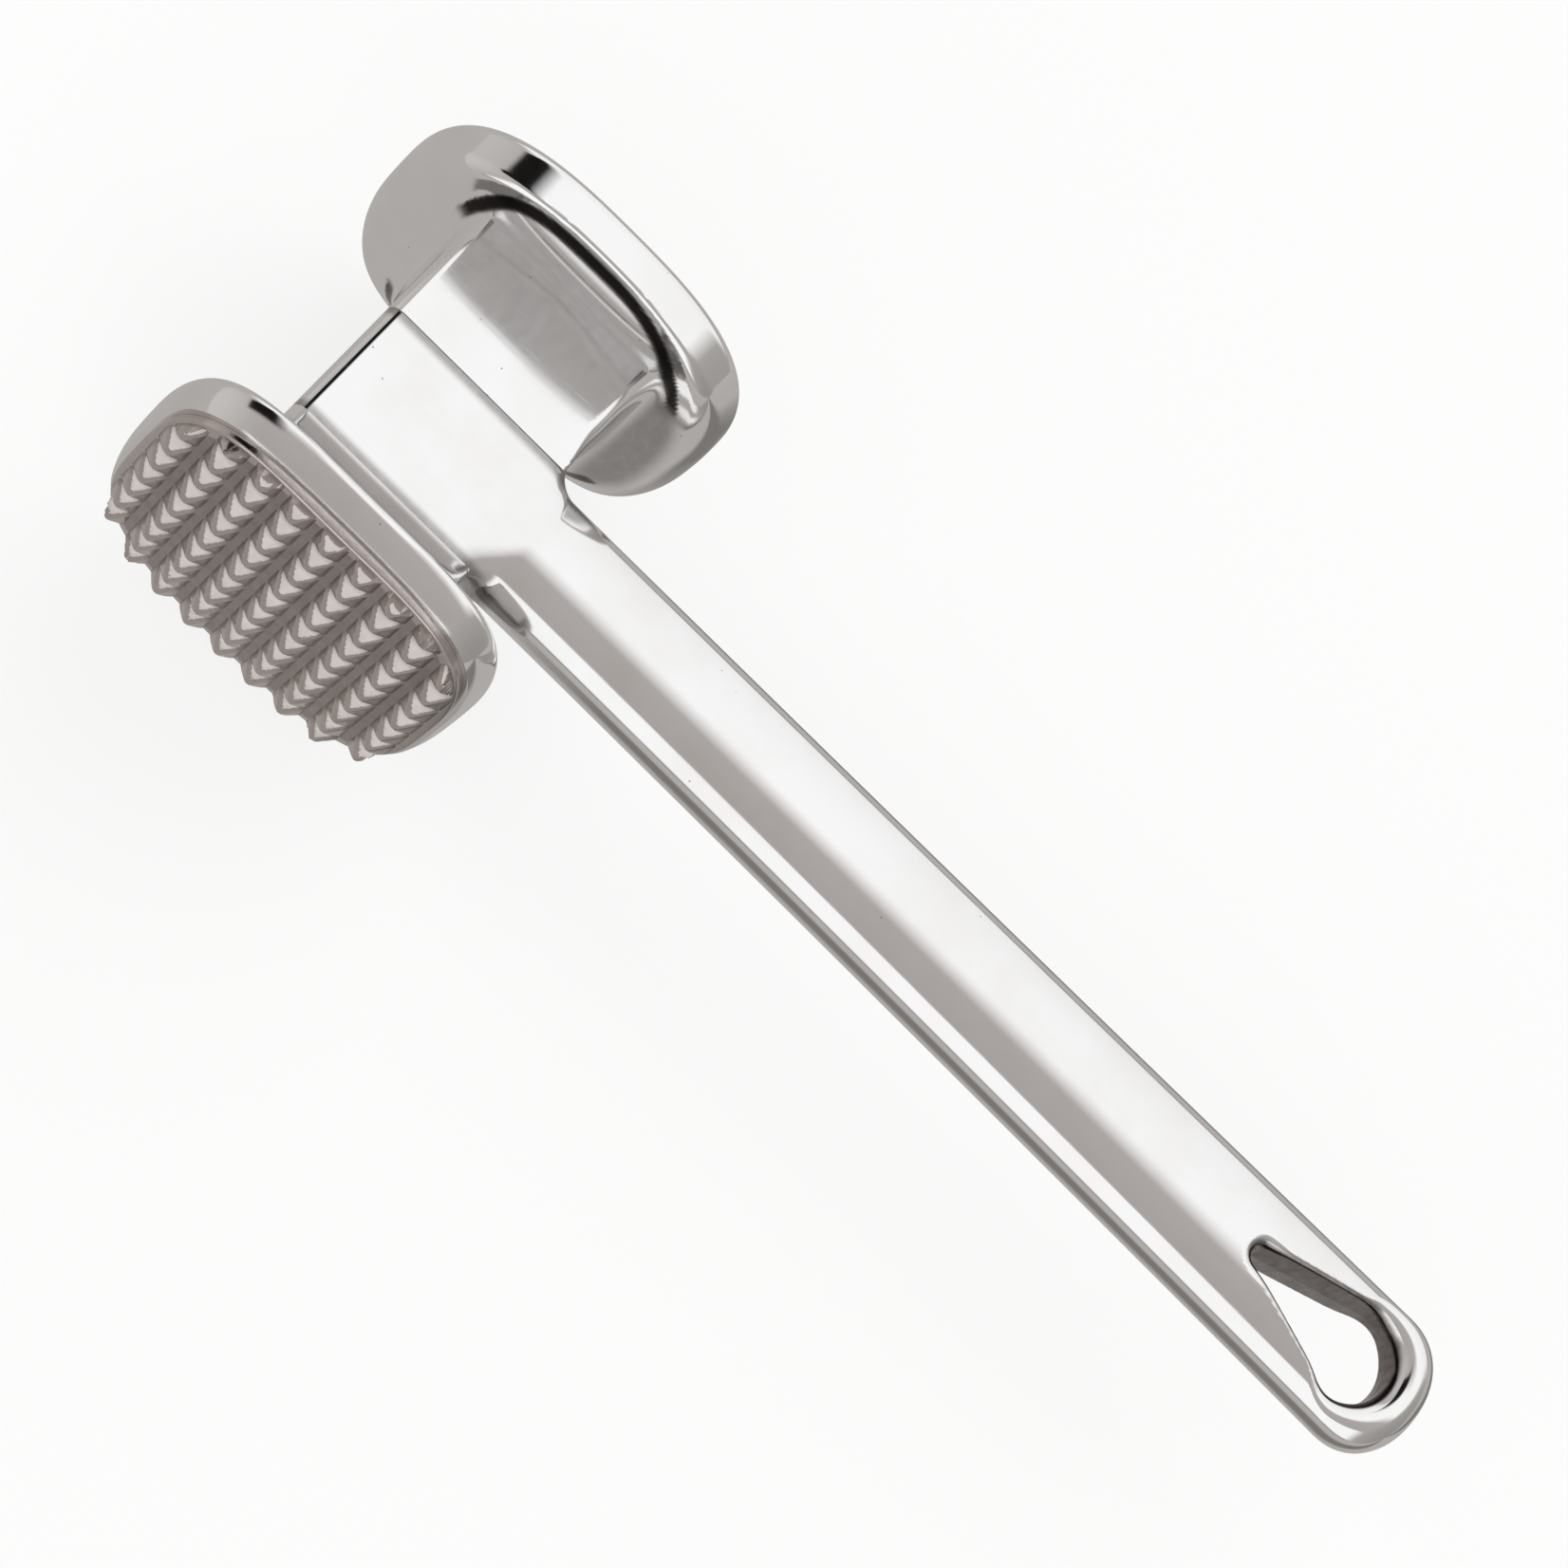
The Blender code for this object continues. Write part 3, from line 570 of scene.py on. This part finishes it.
def skin(field, low, high, cell):
    """Points and four-sided faces of the surface where the field is zero."""
    counts = [int(math.ceil((b - a) / cell)) for a, b in zip(low, high)]
    lines = [a + cell * np.arange(n + 1) for a, n in zip(low, counts)]
    nodes = np.stack(np.meshgrid(*lines, indexing="ij"), -1)
    values = field(nodes)
    inside = values < 0
    total = np.zeros(counts)
    crossed = np.zeros(counts)
    places = np.zeros((*counts, 3))

    def corner(grid, offset):
        i, j, k = offset
        return grid[i:i + counts[0], j:j + counts[1], k:k + counts[2]]

    for offset in np.ndindex(2, 2, 2):
        total += corner(inside, offset)
        for axis in range(3):
            if offset[axis]:
                continue
            other = tuple(o + (n == axis) for n, o in enumerate(offset))
            near, far = corner(values, offset), corner(values, other)
            cut = (near < 0) != (far < 0)
            share = np.where(cut, near / np.where(cut, near - far, 1.0), 0.0)[..., None]
            point = corner(nodes, offset) * (1 - share) + corner(nodes, other) * share
            places += np.where(cut[..., None], point, 0.0)
            crossed += cut
    active = (total > 0) & (total < 8)
    number = np.full(counts, -1)
    number[active] = np.arange(active.sum())
    points = places[active] / crossed[active][:, None]
    for _ in range(4):
        grow = gradient(field, points)
        points -= grow * (field(points) / np.maximum((grow ** 2).sum(-1), 0.05))[:, None]
    faces = []
    for axis in range(3):
        first, second = [n for n in range(3) if n != axis]
        before = inside.take(range(0, counts[axis]), axis)
        after = inside.take(range(1, counts[axis] + 1), axis)
        spots = np.argwhere(before != after)
        spots = spots[(spots[:, first] > 0) & (spots[:, first] < counts[first])
                      & (spots[:, second] > 0) & (spots[:, second] < counts[second])]
        ring = []
        for step_first, step_second in ((1, 1), (0, 1), (0, 0), (1, 0)):
            moved = spots.copy()
            moved[:, first] -= step_first
            moved[:, second] -= step_second
            ring.append(number[moved[:, 0], moved[:, 1], moved[:, 2]])
        faces.append(np.stack(ring, -1))
    return points, np.concatenate(faces)


def to_world(points):
    return (np.asarray(points) + CENTRE) * MM


def mesh_object(name, points, faces):
    mesh = bpy.data.meshes.new(name)
    if not isinstance(faces, list):
        faces = faces.tolist()
    mesh.from_pydata(to_world(points).tolist(), [], faces)
    cleaned = bmesh.new()
    cleaned.from_mesh(mesh)
    bmesh.ops.recalc_face_normals(cleaned, faces=cleaned.faces)
    cleaned.to_mesh(mesh)
    cleaned.free()
    item = bpy.data.objects.new(name, mesh)
    bpy.context.scene.collection.objects.link(item)
    return item


def slice_off(item, side, y, keep_inner):
    """Cut a piece straight across the head's axis and close it with a flat face."""
    cut = bmesh.new()
    cut.from_mesh(item.data)
    place = Vector(to_world((0.0, side * y, 0.0)))
    normal = Vector((0.0, side if keep_inner else -side, 0.0))
    result = bmesh.ops.bisect_plane(cut, geom=cut.verts[:] + cut.edges[:] + cut.faces[:], dist=1e-7,
                                    plane_co=place, plane_no=normal, clear_outer=True)
    rim = [e for e in result["geom_cut"] if isinstance(e, bmesh.types.BMEdge)]
    bmesh.ops.edgeloop_fill(cut, edges=rim)
    cut.to_mesh(item.data)
    cut.free()


def rod(radius, y_low, y_high, x=0.0, points=48):
    """A round rod along the head's axis, as points and faces."""
    angles = [2 * math.pi * i / points for i in range(points)]
    places = [(x + radius * math.cos(a), y, radius * math.sin(a))
              for y in (y_low, y_high) for a in angles]
    faces = [(i, (i + 1) % points, points + (i + 1) % points, points + i) for i in range(points)]
    faces += [tuple(range(points)), tuple(range(2 * points - 1, points - 1, -1))]
    return places, faces


def brick(low, high):
    """A straight block between two corners, as points and faces."""
    places = [(x, y, z) for x in (low[0], high[0])
              for y in (low[1], high[1]) for z in (low[2], high[2])]
    faces = [(0, 1, 3, 2), (4, 6, 7, 5), (0, 4, 5, 1), (2, 3, 7, 6), (0, 2, 6, 4), (1, 5, 7, 3)]
    return places, faces


def cut_away(item, tools):
    """Subtract each tool's shape from the piece, and keep the result as its mesh."""
    for places, faces in tools:
        tool = mesh_object(f"{item.name}_tool", places, faces)
        modifier = item.modifiers.new("cut", "BOOLEAN")
        modifier.operation = "DIFFERENCE"
        modifier.object = tool
        modifier.solver = "EXACT"
        bpy.context.view_layer.update()
        graph = bpy.context.evaluated_depsgraph_get()
        result = bpy.data.meshes.new_from_object(item.evaluated_get(graph))
        item.modifiers.clear()
        old = item.data
        item.data = result
        bpy.data.meshes.remove(old)
        bpy.data.objects.remove(tool, do_unlink=True)


def points_of(mesh):
    places = np.zeros(len(mesh.vertices) * 3)
    mesh.vertices.foreach_get("co", places)
    return places.reshape(-1, 3) / MM - CENTRE


def shade_from_field(item, field):
    """Smooth normals straight from the field on the cast skin, flat ones on the cut faces."""
    mesh = item.data
    points = points_of(mesh)
    grow = gradient(field, points)
    grow /= np.maximum(np.linalg.norm(grow, axis=1), 1e-9)[:, None]
    on_skin = np.abs(field(points)) < ON_SKIN
    mesh.polygons.foreach_set("use_smooth", [True] * len(mesh.polygons))
    corners = np.zeros(len(mesh.loops), np.int32)
    mesh.loops.foreach_get("vertex_index", corners)
    flat = np.zeros(len(mesh.polygons) * 3)
    mesh.polygons.foreach_get("normal", flat)
    sizes = np.zeros(len(mesh.polygons), np.int32)
    mesh.polygons.foreach_get("loop_total", sizes)
    own = np.repeat(flat.reshape(-1, 3), sizes, axis=0)
    wanted = grow[corners]
    agrees = (wanted * own).sum(1) > 0.8
    normals = np.where((on_skin[corners] & agrees)[:, None], wanted, own)
    mesh.normals_split_custom_set(normals.tolist())


def mark_unbuffed(item, share_of):
    """Mark how much painted shade and dark reflection each point gets."""
    mark = item.data.attributes.new("painted_shade", "FLOAT", "POINT")
    mark.data.foreach_set("value", share_of(points_of(item.data)))


def finish_piece(item, material, node):
    """Give the piece its material and put it in its node's place."""
    item.data.materials.clear()
    item.data.materials.append(material)
    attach(item, "root")
    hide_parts(node)


def found_material(maker, finish):
    """The material that bears its maker's name, made if no operator has made it yet."""
    return bpy.data.materials.get(maker.__name__) or maker(finish)


# Operators

class MALLET_OT_handle(Operator):
    """Cast the handle with its block and hang hole"""
    bl_idname = "mallet.handle"
    bl_label = "Handle"

    def execute(self, context):
        sizes, finish = context.scene.mallet_sizes, context.scene.mallet_finish

        def field(points):
            return handle_field(points, sizes)

        low = np.array((-BLOCK_END_X, -SHOULDER_HALF_WIDTH, -BAR_HALF_HEIGHT)) - MARGIN
        high = np.array((HANDLE_END_X, SHOULDER_HALF_WIDTH, BAR_HALF_HEIGHT)) + MARGIN
        handle = mesh_object("handle_casting", *skin(field, low, high, sizes.cell / MM))
        seat_y = POUNDING_SEAT_Y - SEAM
        tools = []
        for side in (-1, 1):
            near, far = sorted((side * seat_y, side * 3 * seat_y))
            tools.append(brick((-2 * BLOCK_END_X, near, -THROUGH),
                               (BLOCK_END_X + SEAM, far, THROUGH)))
        tools.append(rod(BOLT_BORE, -THROUGH, THROUGH))
        tools += [rod(DOWEL_BORE, -THROUGH, THROUGH, side * DOWEL_SPACING / 2) for side in (-1, 1)]
        cut_away(handle, tools)
        shade_from_field(handle, field)

        def out_of_reach(points):
            """Painted shade on the hole's wall, the hollow at its narrow end and the bar's corners
            by the head.
            """
            x, y = points[:, 0], points[:, 1]
            apex = HANDLE_END_X - HOLE_CENTRE_FROM_END - HOLE_LENGTH
            hollow = 1 - smooth_step(apex - 2.0, apex + 2.5, x)
            bright = smooth_step(0.6 + 0.3 * hollow, 1.3 + 0.8 * hollow, hole_distance(x, y))
            corner = smooth_step(9.5, 11.0, np.abs(y)) * (1 - smooth_step(22.5, 25.5, x))
            return np.maximum(HOLE_WALL_SHARE * (1 - bright), BAR_CORNER_SHARE * corner)

        mark_unbuffed(handle, out_of_reach)
        metal = found_material(buffed_cast_aluminium, finish)
        finish_piece(handle, metal, "handle")
        return {"FINISHED"}


def cast_head(name, node, side, shape, tools, context):
    """Mesh one head, cut its seat and its face straight, and bore it."""
    sizes, finish = context.scene.mallet_sizes, context.scene.mallet_finish

    def field(points):
        return head_field(points, side, shape, sizes)

    face_y = shape["face_y"]
    ends = sorted((side * (POUNDING_SEAT_Y - 3.0), side * (face_y + MARGIN)))
    low = (-FLANGE_HALF_WIDTH - MARGIN, ends[0], -FLANGE_HALF_HEIGHT - MARGIN)
    high = (FLANGE_HALF_WIDTH + MARGIN, ends[1], FLANGE_HALF_HEIGHT + MARGIN)

    def closed(points):
        """The head, ended a little inside its seat so that the seat can be cut straight."""
        return np.maximum(field(points), POUNDING_SEAT_Y - 2.0 - points[..., 1] * side)

    head = mesh_object(name, *skin(closed, low, high, sizes.cell / MM))
    slice_off(head, side, POUNDING_SEAT_Y, keep_inner=False)
    if shape["edge_plane_y"] > face_y:
        slice_off(head, side, face_y, keep_inner=True)
    cut_away(head, tools)
    shade_from_field(head, field)

    def in_the_recess(points):
        """Painted shade and dark reflection: the channel inside the rim and the hollow by the neck,
        or the toothed head's back.
        """
        x, y, z = points[:, 0], points[:, 1] * side, np.abs(points[:, 2])
        _, out = outline_distance(x, z, FLANGE_HALF_WIDTH, FLANGE_HALF_HEIGHT, shape["squareness"])
        behind = 1 - smooth_step(shape["rim_back_y"] - 0.2, shape["rim_back_y"] + 0.5, y)
        if side < 0:
            back = smooth_step(15.0, 20.0, y) * behind * (1 - smooth_step(0.93, 0.97, out))
            return TOOTHED_BACK_SHARE * back
        _, way = outline_distance(x - CHANNEL_X, z, CHANNEL_HALF_WIDTH, CHANNEL_HALF_HEIGHT,
                                  np.where(x < CHANNEL_X, *CHANNEL_SQUARENESS))
        channel = smooth_step(0.94, 0.965, way) * (1 - smooth_step(1.015, 1.03, way))
        hollow = smooth_step(19.0, 21.5, x) * (1 - smooth_step(0.8, 0.9, out))
        return np.maximum(channel * smooth_step(15.0, 19.0, z), NECK_HOLLOW_SHARE * hollow) * behind

    mark_unbuffed(head, in_the_recess)
    metal = found_material(buffed_cast_aluminium, finish)
    finish_piece(head, metal, node)


def dowel_sockets(side):
    """Tools for one head's two dowel holes."""
    near, far = sorted((side * BORE_START_Y, side * DOWEL_REACH))
    return [rod(DOWEL_BORE, near, far, end * DOWEL_SPACING / 2) for end in (-1, 1)]


class MALLET_OT_pounding_head(Operator):
    """Cast the head with the plain face"""
    bl_idname = "mallet.pounding_head"
    bl_label = "Pounding Head"

    def execute(self, context):
        tools = dowel_sockets(1) + [rod(BOLT_BORE, BORE_START_Y, BOLT_BORE_END_Y)]
        cast_head("pounding_casting", "pounding_head", 1, POUNDING_SHAPE, tools, context)
        return {"FINISHED"}


class MALLET_OT_tenderizer_head(Operator):
    """Cast the head that carries the toothed plate"""
    bl_idname = "mallet.tenderizer_head"
    bl_label = "Tenderizer Head"

    def execute(self, context):
        tools = dowel_sockets(-1) + [rod(BOLT_BORE, -BOSS_BORE_FLOOR_Y - 1.1, -BORE_START_Y),
                                     rod(BOSS_BORE, -TOOTH_TIP_Y - 3.0, -BOSS_BORE_FLOOR_Y)]
        cast_head("tenderizer_casting", "tenderizer_head", -1, TENDERIZER_SHAPE, tools, context)
        return {"FINISHED"}


def plate_outline(angle, inset=0.0):
    """The point of the plate's outline in that direction."""
    cos, sin = math.cos(angle), math.sin(angle)
    half_x, half_z = PLATE_HALF_WIDTH - inset, PLATE_HALF_HEIGHT - inset
    powers = abs(cos / half_x) ** PLATE_SQUARENESS + abs(sin / half_z) ** PLATE_SQUARENESS
    reach = powers ** (-1 / PLATE_SQUARENESS)
    return reach * cos, reach * sin


def valley_y(x, z):
    """Where the crowned face lies between the teeth."""
    return -(TOOTH_TIP_Y - TOOTH_HEIGHT - (x * x + z * z) / (2 * PLATE_CROWN_RADIUS))


def outline_share(x, z):
    """The point's share of the way out to the plate's outline."""
    return ((abs(x) / PLATE_HALF_WIDTH) ** PLATE_SQUARENESS
            + (abs(z) / PLATE_HALF_HEIGHT) ** PLATE_SQUARENESS) ** (1 / PLATE_SQUARENESS)


def add_plate_body(points, faces, heights):
    """The plate's side, its round edge and its crowned face, as closed rings."""
    around, edge_steps = 144, 4
    angles = [2 * math.pi * i / around for i in range(around)]
    rings = [[(*plate_outline(a), -TENDERIZER_FACE_Y - SEAM) for a in angles]]
    for step in range(edge_steps + 1):
        turn = math.pi / 2 * step / edge_steps
        inset = PLATE_EDGE * (1 - math.cos(turn))
        ring = []
        for a in angles:
            x, z = plate_outline(a, inset)
            ring.append((x, z, valley_y(x, z) + PLATE_EDGE * (1 - math.sin(turn))))
        rings.append(ring)
    for share in (0.95, 0.9, 0.8, 0.7, 0.6, 0.5, 0.4, 0.3, 0.2, 0.1):
        ring = []
        for a in angles:
            x, z = [share * c for c in plate_outline(a, PLATE_EDGE)]
            ring.append((x, z, valley_y(x, z)))
        rings.append(ring)
    for number, ring in enumerate(rings):
        points += [(x, y, z) for x, z, y in ring]
        heights += [1.0 if number < edge_steps + 2 else 0.0] * around
    for r in range(len(rings) - 1):
        for i in range(around):
            j = (i + 1) % around
            here, further = r * around, (r + 1) * around
            faces.append((here + i, here + j, further + j, further + i))
    faces.append(tuple(range(around)))
    faces.append(tuple(range(len(rings) * around - 1, (len(rings) - 1) * around - 1, -1)))


def add_tooth(points, faces, heights, centre_x, centre_z, point_radius):
    """A four-sided pyramid with slightly rounded ridges, sunk in the plate."""
    half = 6
    base_x, base_z = (TOOTH_PITCH - TOOTH_GROOVE_X) / 2, (TOOTH_PITCH - TOOTH_GROOVE_Z) / 2
    blunt = point_radius / base_x
    full = math.sqrt(1 + blunt * blunt)
    start, side = len(points), 2 * half + 1
    for i in range(-half, half + 1):
        for j in range(-half, half + 1):
            u, v = i / half, j / half
            powers = abs(u) ** RIDGE_SHARPNESS + abs(v) ** RIDGE_SHARPNESS
            reach = powers ** (1 / RIDGE_SHARPNESS)
            fall = math.sqrt(min(reach, 1.0) ** 2 + blunt * blunt)
            height = max((full - fall) / (full - blunt), 0.0)
            x, z = centre_x + u * base_x, centre_z + v * base_z
            share = outline_share(x, z) * PLATE_HALF_WIDTH / (PLATE_HALF_WIDTH - PLATE_EDGE)
            if share > 1:
                x, z, height = x / share, z / share, 0.0
            sunk = 0.0 if height else TOOTH_ROOT / 20
            points.append((x, valley_y(x, z) - TOOTH_HEIGHT * height + sunk, z))
            heights.append(height)
    for i in range(side - 1):
        for j in range(side - 1):
            a = start + i * side + j
            faces.append((a, a + 1, a + side + 1, a + side))
    end = side - 1
    border = [(0, j) for j in range(end)] + [(i, end) for i in range(end)]
    border += [(end, j) for j in range(end, 0, -1)] + [(i, 0) for i in range(end, 0, -1)]
    upper = [start + i * side + j for i, j in border]
    lower = []
    for index in upper:
        x, y, z = points[index]
        lower.append(len(points))
        points.append((x, y + TOOTH_ROOT, z))
        heights.append(0.0)
    for n in range(len(upper)):
        m = (n + 1) % len(upper)
        faces.append((upper[n], upper[m], lower[m], lower[n]))
    faces.append(tuple(reversed(lower)))


class MALLET_OT_tenderizer_plate(Operator):
    """Cast the toothed plate"""
    bl_idname = "mallet.tenderizer_plate"
    bl_label = "Tenderizer Plate"

    def execute(self, context):
        sizes, finish = context.scene.mallet_sizes, context.scene.mallet_finish
        points, faces, heights = [], [], []
        add_plate_body(points, faces, heights)
        middle = (TEETH_ACROSS - 1) / 2
        for column in range(TEETH_ACROSS):
            for row in range(TEETH_ACROSS):
                x, z = (column - middle) * TOOTH_PITCH, (row - middle) * TOOTH_PITCH
                if outline_share(x, z) ** PLATE_SQUARENESS > TOOTH_CORNER_REACH:
                    continue
                add_tooth(points, faces, heights, x, z, sizes.tooth_point / MM)
        places, sides = rod(BOSS_BORE - MESH_GAP, -TENDERIZER_FACE_Y - 1.0,
                            -TENDERIZER_FACE_Y + BOSS_LENGTH)
        first = len(points)
        points += places
        faces += [tuple(first + n for n in face) for face in sides]
        heights += [0.0] * len(places)
        plate = mesh_object("toothed_plate", points, faces)
        mesh = plate.data
        mark = mesh.attributes.new("tooth_height", "FLOAT", "POINT")
        mark.data.foreach_set("value", heights)
        mesh.polygons.foreach_set("use_smooth", [True] * len(mesh.polygons))
        mesh.set_sharp_from_angle(angle=math.radians(42))
        metal = found_material(tumbled_cast_aluminium, finish)
        finish_piece(plate, metal, "tenderizer_plate")
        return {"FINISHED"}


class MALLET_OT_fasteners(Operator):
    """Give the bolt, the washer and the dowels their steel"""
    bl_idname = "mallet.fasteners"
    bl_label = "Fasteners"

    def execute(self, context):
        metal = found_material(turned_steel, context.scene.mallet_finish)
        for name in ("head_bolt", "lock_washer", "locating_dowel_1", "locating_dowel_2"):
            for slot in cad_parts[name].material_slots:
                slot.material = metal
        return {"FINISHED"}


# The studio. Directions are in degrees from straight up towards -Y.

STUDIO_BANDS = (
    (-180, "#6A6765"), (-90, "#6A6765"), (-84, "#F4F3F3"), (-24, "#FFFFFF"), (-13, "#B1ABA9"),
    (28, "#ABA6A3"), (31, "#FFFFFF"), (80, "#FFFFFF"), (88, "#8A8683"), (180, "#8A8683"),
)


class MALLET_OT_stage(Operator):
    """Set up the floor, the light and the camera"""
    bl_idname = "mallet.stage"
    bl_label = "Stage"

    def execute(self, context):
        studio = context.scene.mallet_studio
        self.add_floor(studio)
        self.add_world(context.scene, studio)
        self.add_camera(context.scene, studio)
        context.scene.view_settings.view_transform = "Standard"
        context.scene.view_settings.look = "None"
        return {"FINISHED"}

    def add_floor(self, studio):
        """A pale sheet for the eye, and the grey table that the metal mirrors."""
        half = 3.0
        corners = ((-half, -half), (half, -half), (half, half), (-half, half))
        for name, z in (("floor_sheet", -0.0002), ("mirrored_table", -0.0004)):
            mesh = bpy.data.meshes.new(name)
            mesh.from_pydata([(x, y, z) for x, y in corners], [], [(0, 1, 2, 3)])
            item = bpy.data.objects.new(name, mesh)
            bpy.context.scene.collection.objects.link(item)
            material, tree = new_material(name)
            matt = {"Roughness": 0.9, "Specular IOR Level": 0.1}
            if name == "floor_sheet":
                close_material(tree, {
                    **matt, "Base Color": linear("#A0A0A0"),
                    "Emission Color": linear(studio.floor), "Emission Strength": 0.78})
                item.visible_glossy = False
            else:
                close_material(tree, {
                    **matt, "Base Color": linear("#000000"),
                    "Emission Color": self.table_shade(tree), "Emission Strength": 1.0})
                item.visible_camera = False
                item.visible_diffuse = False
                item.visible_shadow = False
            mesh.materials.append(material)

    def table_shade(self, tree):
        """Grey, and dimmer along both sides of the handle, where the mallet shades the table."""
        spot = add(tree, "SeparateXYZ", {"Vector": add(tree, "TexCoord").outputs["Object"]})
        beside = add(tree, "Math", {0: spot.outputs["Y"]}, operation="ABSOLUTE")
        span = add(tree, "Math", {0: beside, 1: 5.0}, operation="MULTIPLY")
        dim = add(tree, "ValToRGB", {"Fac": span}, stops=[
            (0.0, BLACK), (0.11, BLACK), (0.15, WHITE), (0.3, WHITE),
            (0.45, BLACK), (1.0, BLACK)])
        past_head = add(tree, "MapRange", {
            "Value": spot.outputs["X"], "From Min": -0.07, "From Max": -0.04})
        fade = add(tree, "Math", {0: dim, 1: past_head}, operation="MULTIPLY")
        return add(tree, "Mix", {
            "Factor": fade, "A": linear("#B2AEAB"), "B": linear("#7B7875")}, data_type="RGBA")

    def add_world(self, scene, studio):
        """Two long soft boxes as bands across the sky, with a dim gap over the mallet."""
        world = bpy.data.worlds.new("soft_studio")
        world.use_nodes = True
        tree = world.node_tree
        tree.nodes.clear()
        place = add(tree, "TexCoord")
        parts = add(tree, "SeparateXYZ", {"Vector": place.outputs["Generated"]})
        back = add(tree, "Math", {0: parts.outputs["Y"], 1: -1.0}, operation="MULTIPLY")
        turn = add(tree, "Math", {0: back, 1: parts.outputs["Z"]}, operation="ARCTAN2")
        share = add(tree, "MapRange", {"Value": turn, "From Min": -math.pi, "From Max": math.pi})
        bands = add(tree, "ValToRGB", {"Fac": share}, stops=[
            ((angle + 180) / 360, linear(colour)) for angle, colour in STUDIO_BANDS])
        # Both ends of the room are grey, the one towards -X lighter
        across = add(tree, "MapRange", {
            "Value": parts.outputs["X"], "From Min": -1.0, "From Max": 1.0})
        sideways = add(tree, "ValToRGB", {"Fac": across}, stops=[
            (0.0, WHITE), (0.17, WHITE), (0.23, BLACK), (0.80, BLACK),
            (0.88, WHITE), (1.0, WHITE)])
        ends = add(tree, "ValToRGB", {"Fac": across}, stops=[
            (0.0, linear("#C9C5C2")), (0.16, linear("#B4B0AD")), (0.8, linear("#B4B0AD")),
            (1.0, linear("#96928F"))])
        mixed = add(tree, "Mix", {"Factor": sideways, "A": bands, "B": ends}, data_type="RGBA")
        # A black flag stands beside the soft box, high towards -X
        flag = add(tree, "ValToRGB", {"Fac": across}, stops=[
            (0.0, BLACK), (0.1, BLACK), (0.115, WHITE), (0.26, WHITE),
            (0.33, BLACK), (1.0, BLACK)])
        behind = add(tree, "MapRange", {
            "Value": parts.outputs["Y"], "From Min": 0.1, "From Max": 0.18})
        high = add(tree, "MapRange", {
            "Value": parts.outputs["Z"], "From Min": 0.5, "From Max": 0.56})
        dark = add(tree, "Math", {0: flag, 1: behind}, operation="MULTIPLY")
        raised = add(tree, "Math", {0: dark, 1: high}, operation="MULTIPLY")
        flagged = add(tree, "Mix", {
            "Factor": raised, "A": mixed, "B": linear("#161514")}, data_type="RGBA")
        # The metal mirrors the bands, and the eye sees a plain pale wall behind the mallet
        light = add(tree, "Background", {"Color": flagged})
        wall = add(tree, "Background", {"Color": linear(studio.floor)})
        seen = add(tree, "LightPath")
        room = add(tree, "MixShader", {0: seen.outputs["Is Camera Ray"], 1: light, 2: wall})
        add(tree, "OutputWorld", {"Surface": room})
        scene.world = world

    def add_camera(self, scene, studio):
        data = bpy.data.cameras.new("studio_camera")
        data.lens = studio.lens
        data.sensor_width = 36.0
        camera = bpy.data.objects.new("studio_camera", data)
        scene.collection.objects.link(camera)
        flat = math.cos(studio.elevation)
        forward = Vector((-math.sin(studio.azimuth) * flat, math.cos(studio.azimuth) * flat,
                          -math.sin(studio.elevation)))
        right = forward.cross(Vector((0, 0, 1))).normalized()
        upward = right.cross(forward)
        basis = Matrix((right, upward, -forward)).transposed()
        basis @= Matrix.Rotation(studio.roll, 3, "Z")
        place = Vector(studio.target) - forward * studio.distance
        camera.matrix_world = Matrix.Translation(place) @ basis.to_4x4()
        scene.camera = camera


class MALLET_PT_sidebar(Panel):
    bl_label = "Meat Mallet"
    bl_idname = "MALLET_PT_sidebar"
    bl_space_type = "VIEW_3D"
    bl_region_type = "UI"
    bl_category = "Mallet"

    def draw(self, context):
        for name, kind in GROUPS:
            box = self.layout.box()
            for setting in kind.__annotations__:
                box.prop(getattr(context.scene, name), setting)
        for operator in OPERATORS:
            self.layout.operator(operator.bl_idname)


OPERATORS = (MALLET_OT_handle, MALLET_OT_pounding_head, MALLET_OT_tenderizer_head,
             MALLET_OT_tenderizer_plate, MALLET_OT_fasteners, MALLET_OT_stage)
GROUPS = (("mallet_sizes", MalletSizes), ("mallet_finish", MalletFinish),
          ("mallet_studio", MalletStudio))


def register():
    for name, group in GROUPS:
        bpy.utils.register_class(group)
        setattr(bpy.types.Scene, name, PointerProperty(type=group))
    for item in (*OPERATORS, MALLET_PT_sidebar):
        bpy.utils.register_class(item)


def unregister():
    for item in reversed((*OPERATORS, MALLET_PT_sidebar)):
        bpy.utils.unregister_class(item)
    for name, group in reversed(GROUPS):
        delattr(bpy.types.Scene, name)
        bpy.utils.unregister_class(group)


def main():
    register()
    bpy.ops.mallet.handle()
    bpy.ops.mallet.pounding_head()
    bpy.ops.mallet.tenderizer_head()
    bpy.ops.mallet.tenderizer_plate()
    bpy.ops.mallet.fasteners()
    bpy.ops.mallet.stage()


if __name__ == "__main__":
    main()
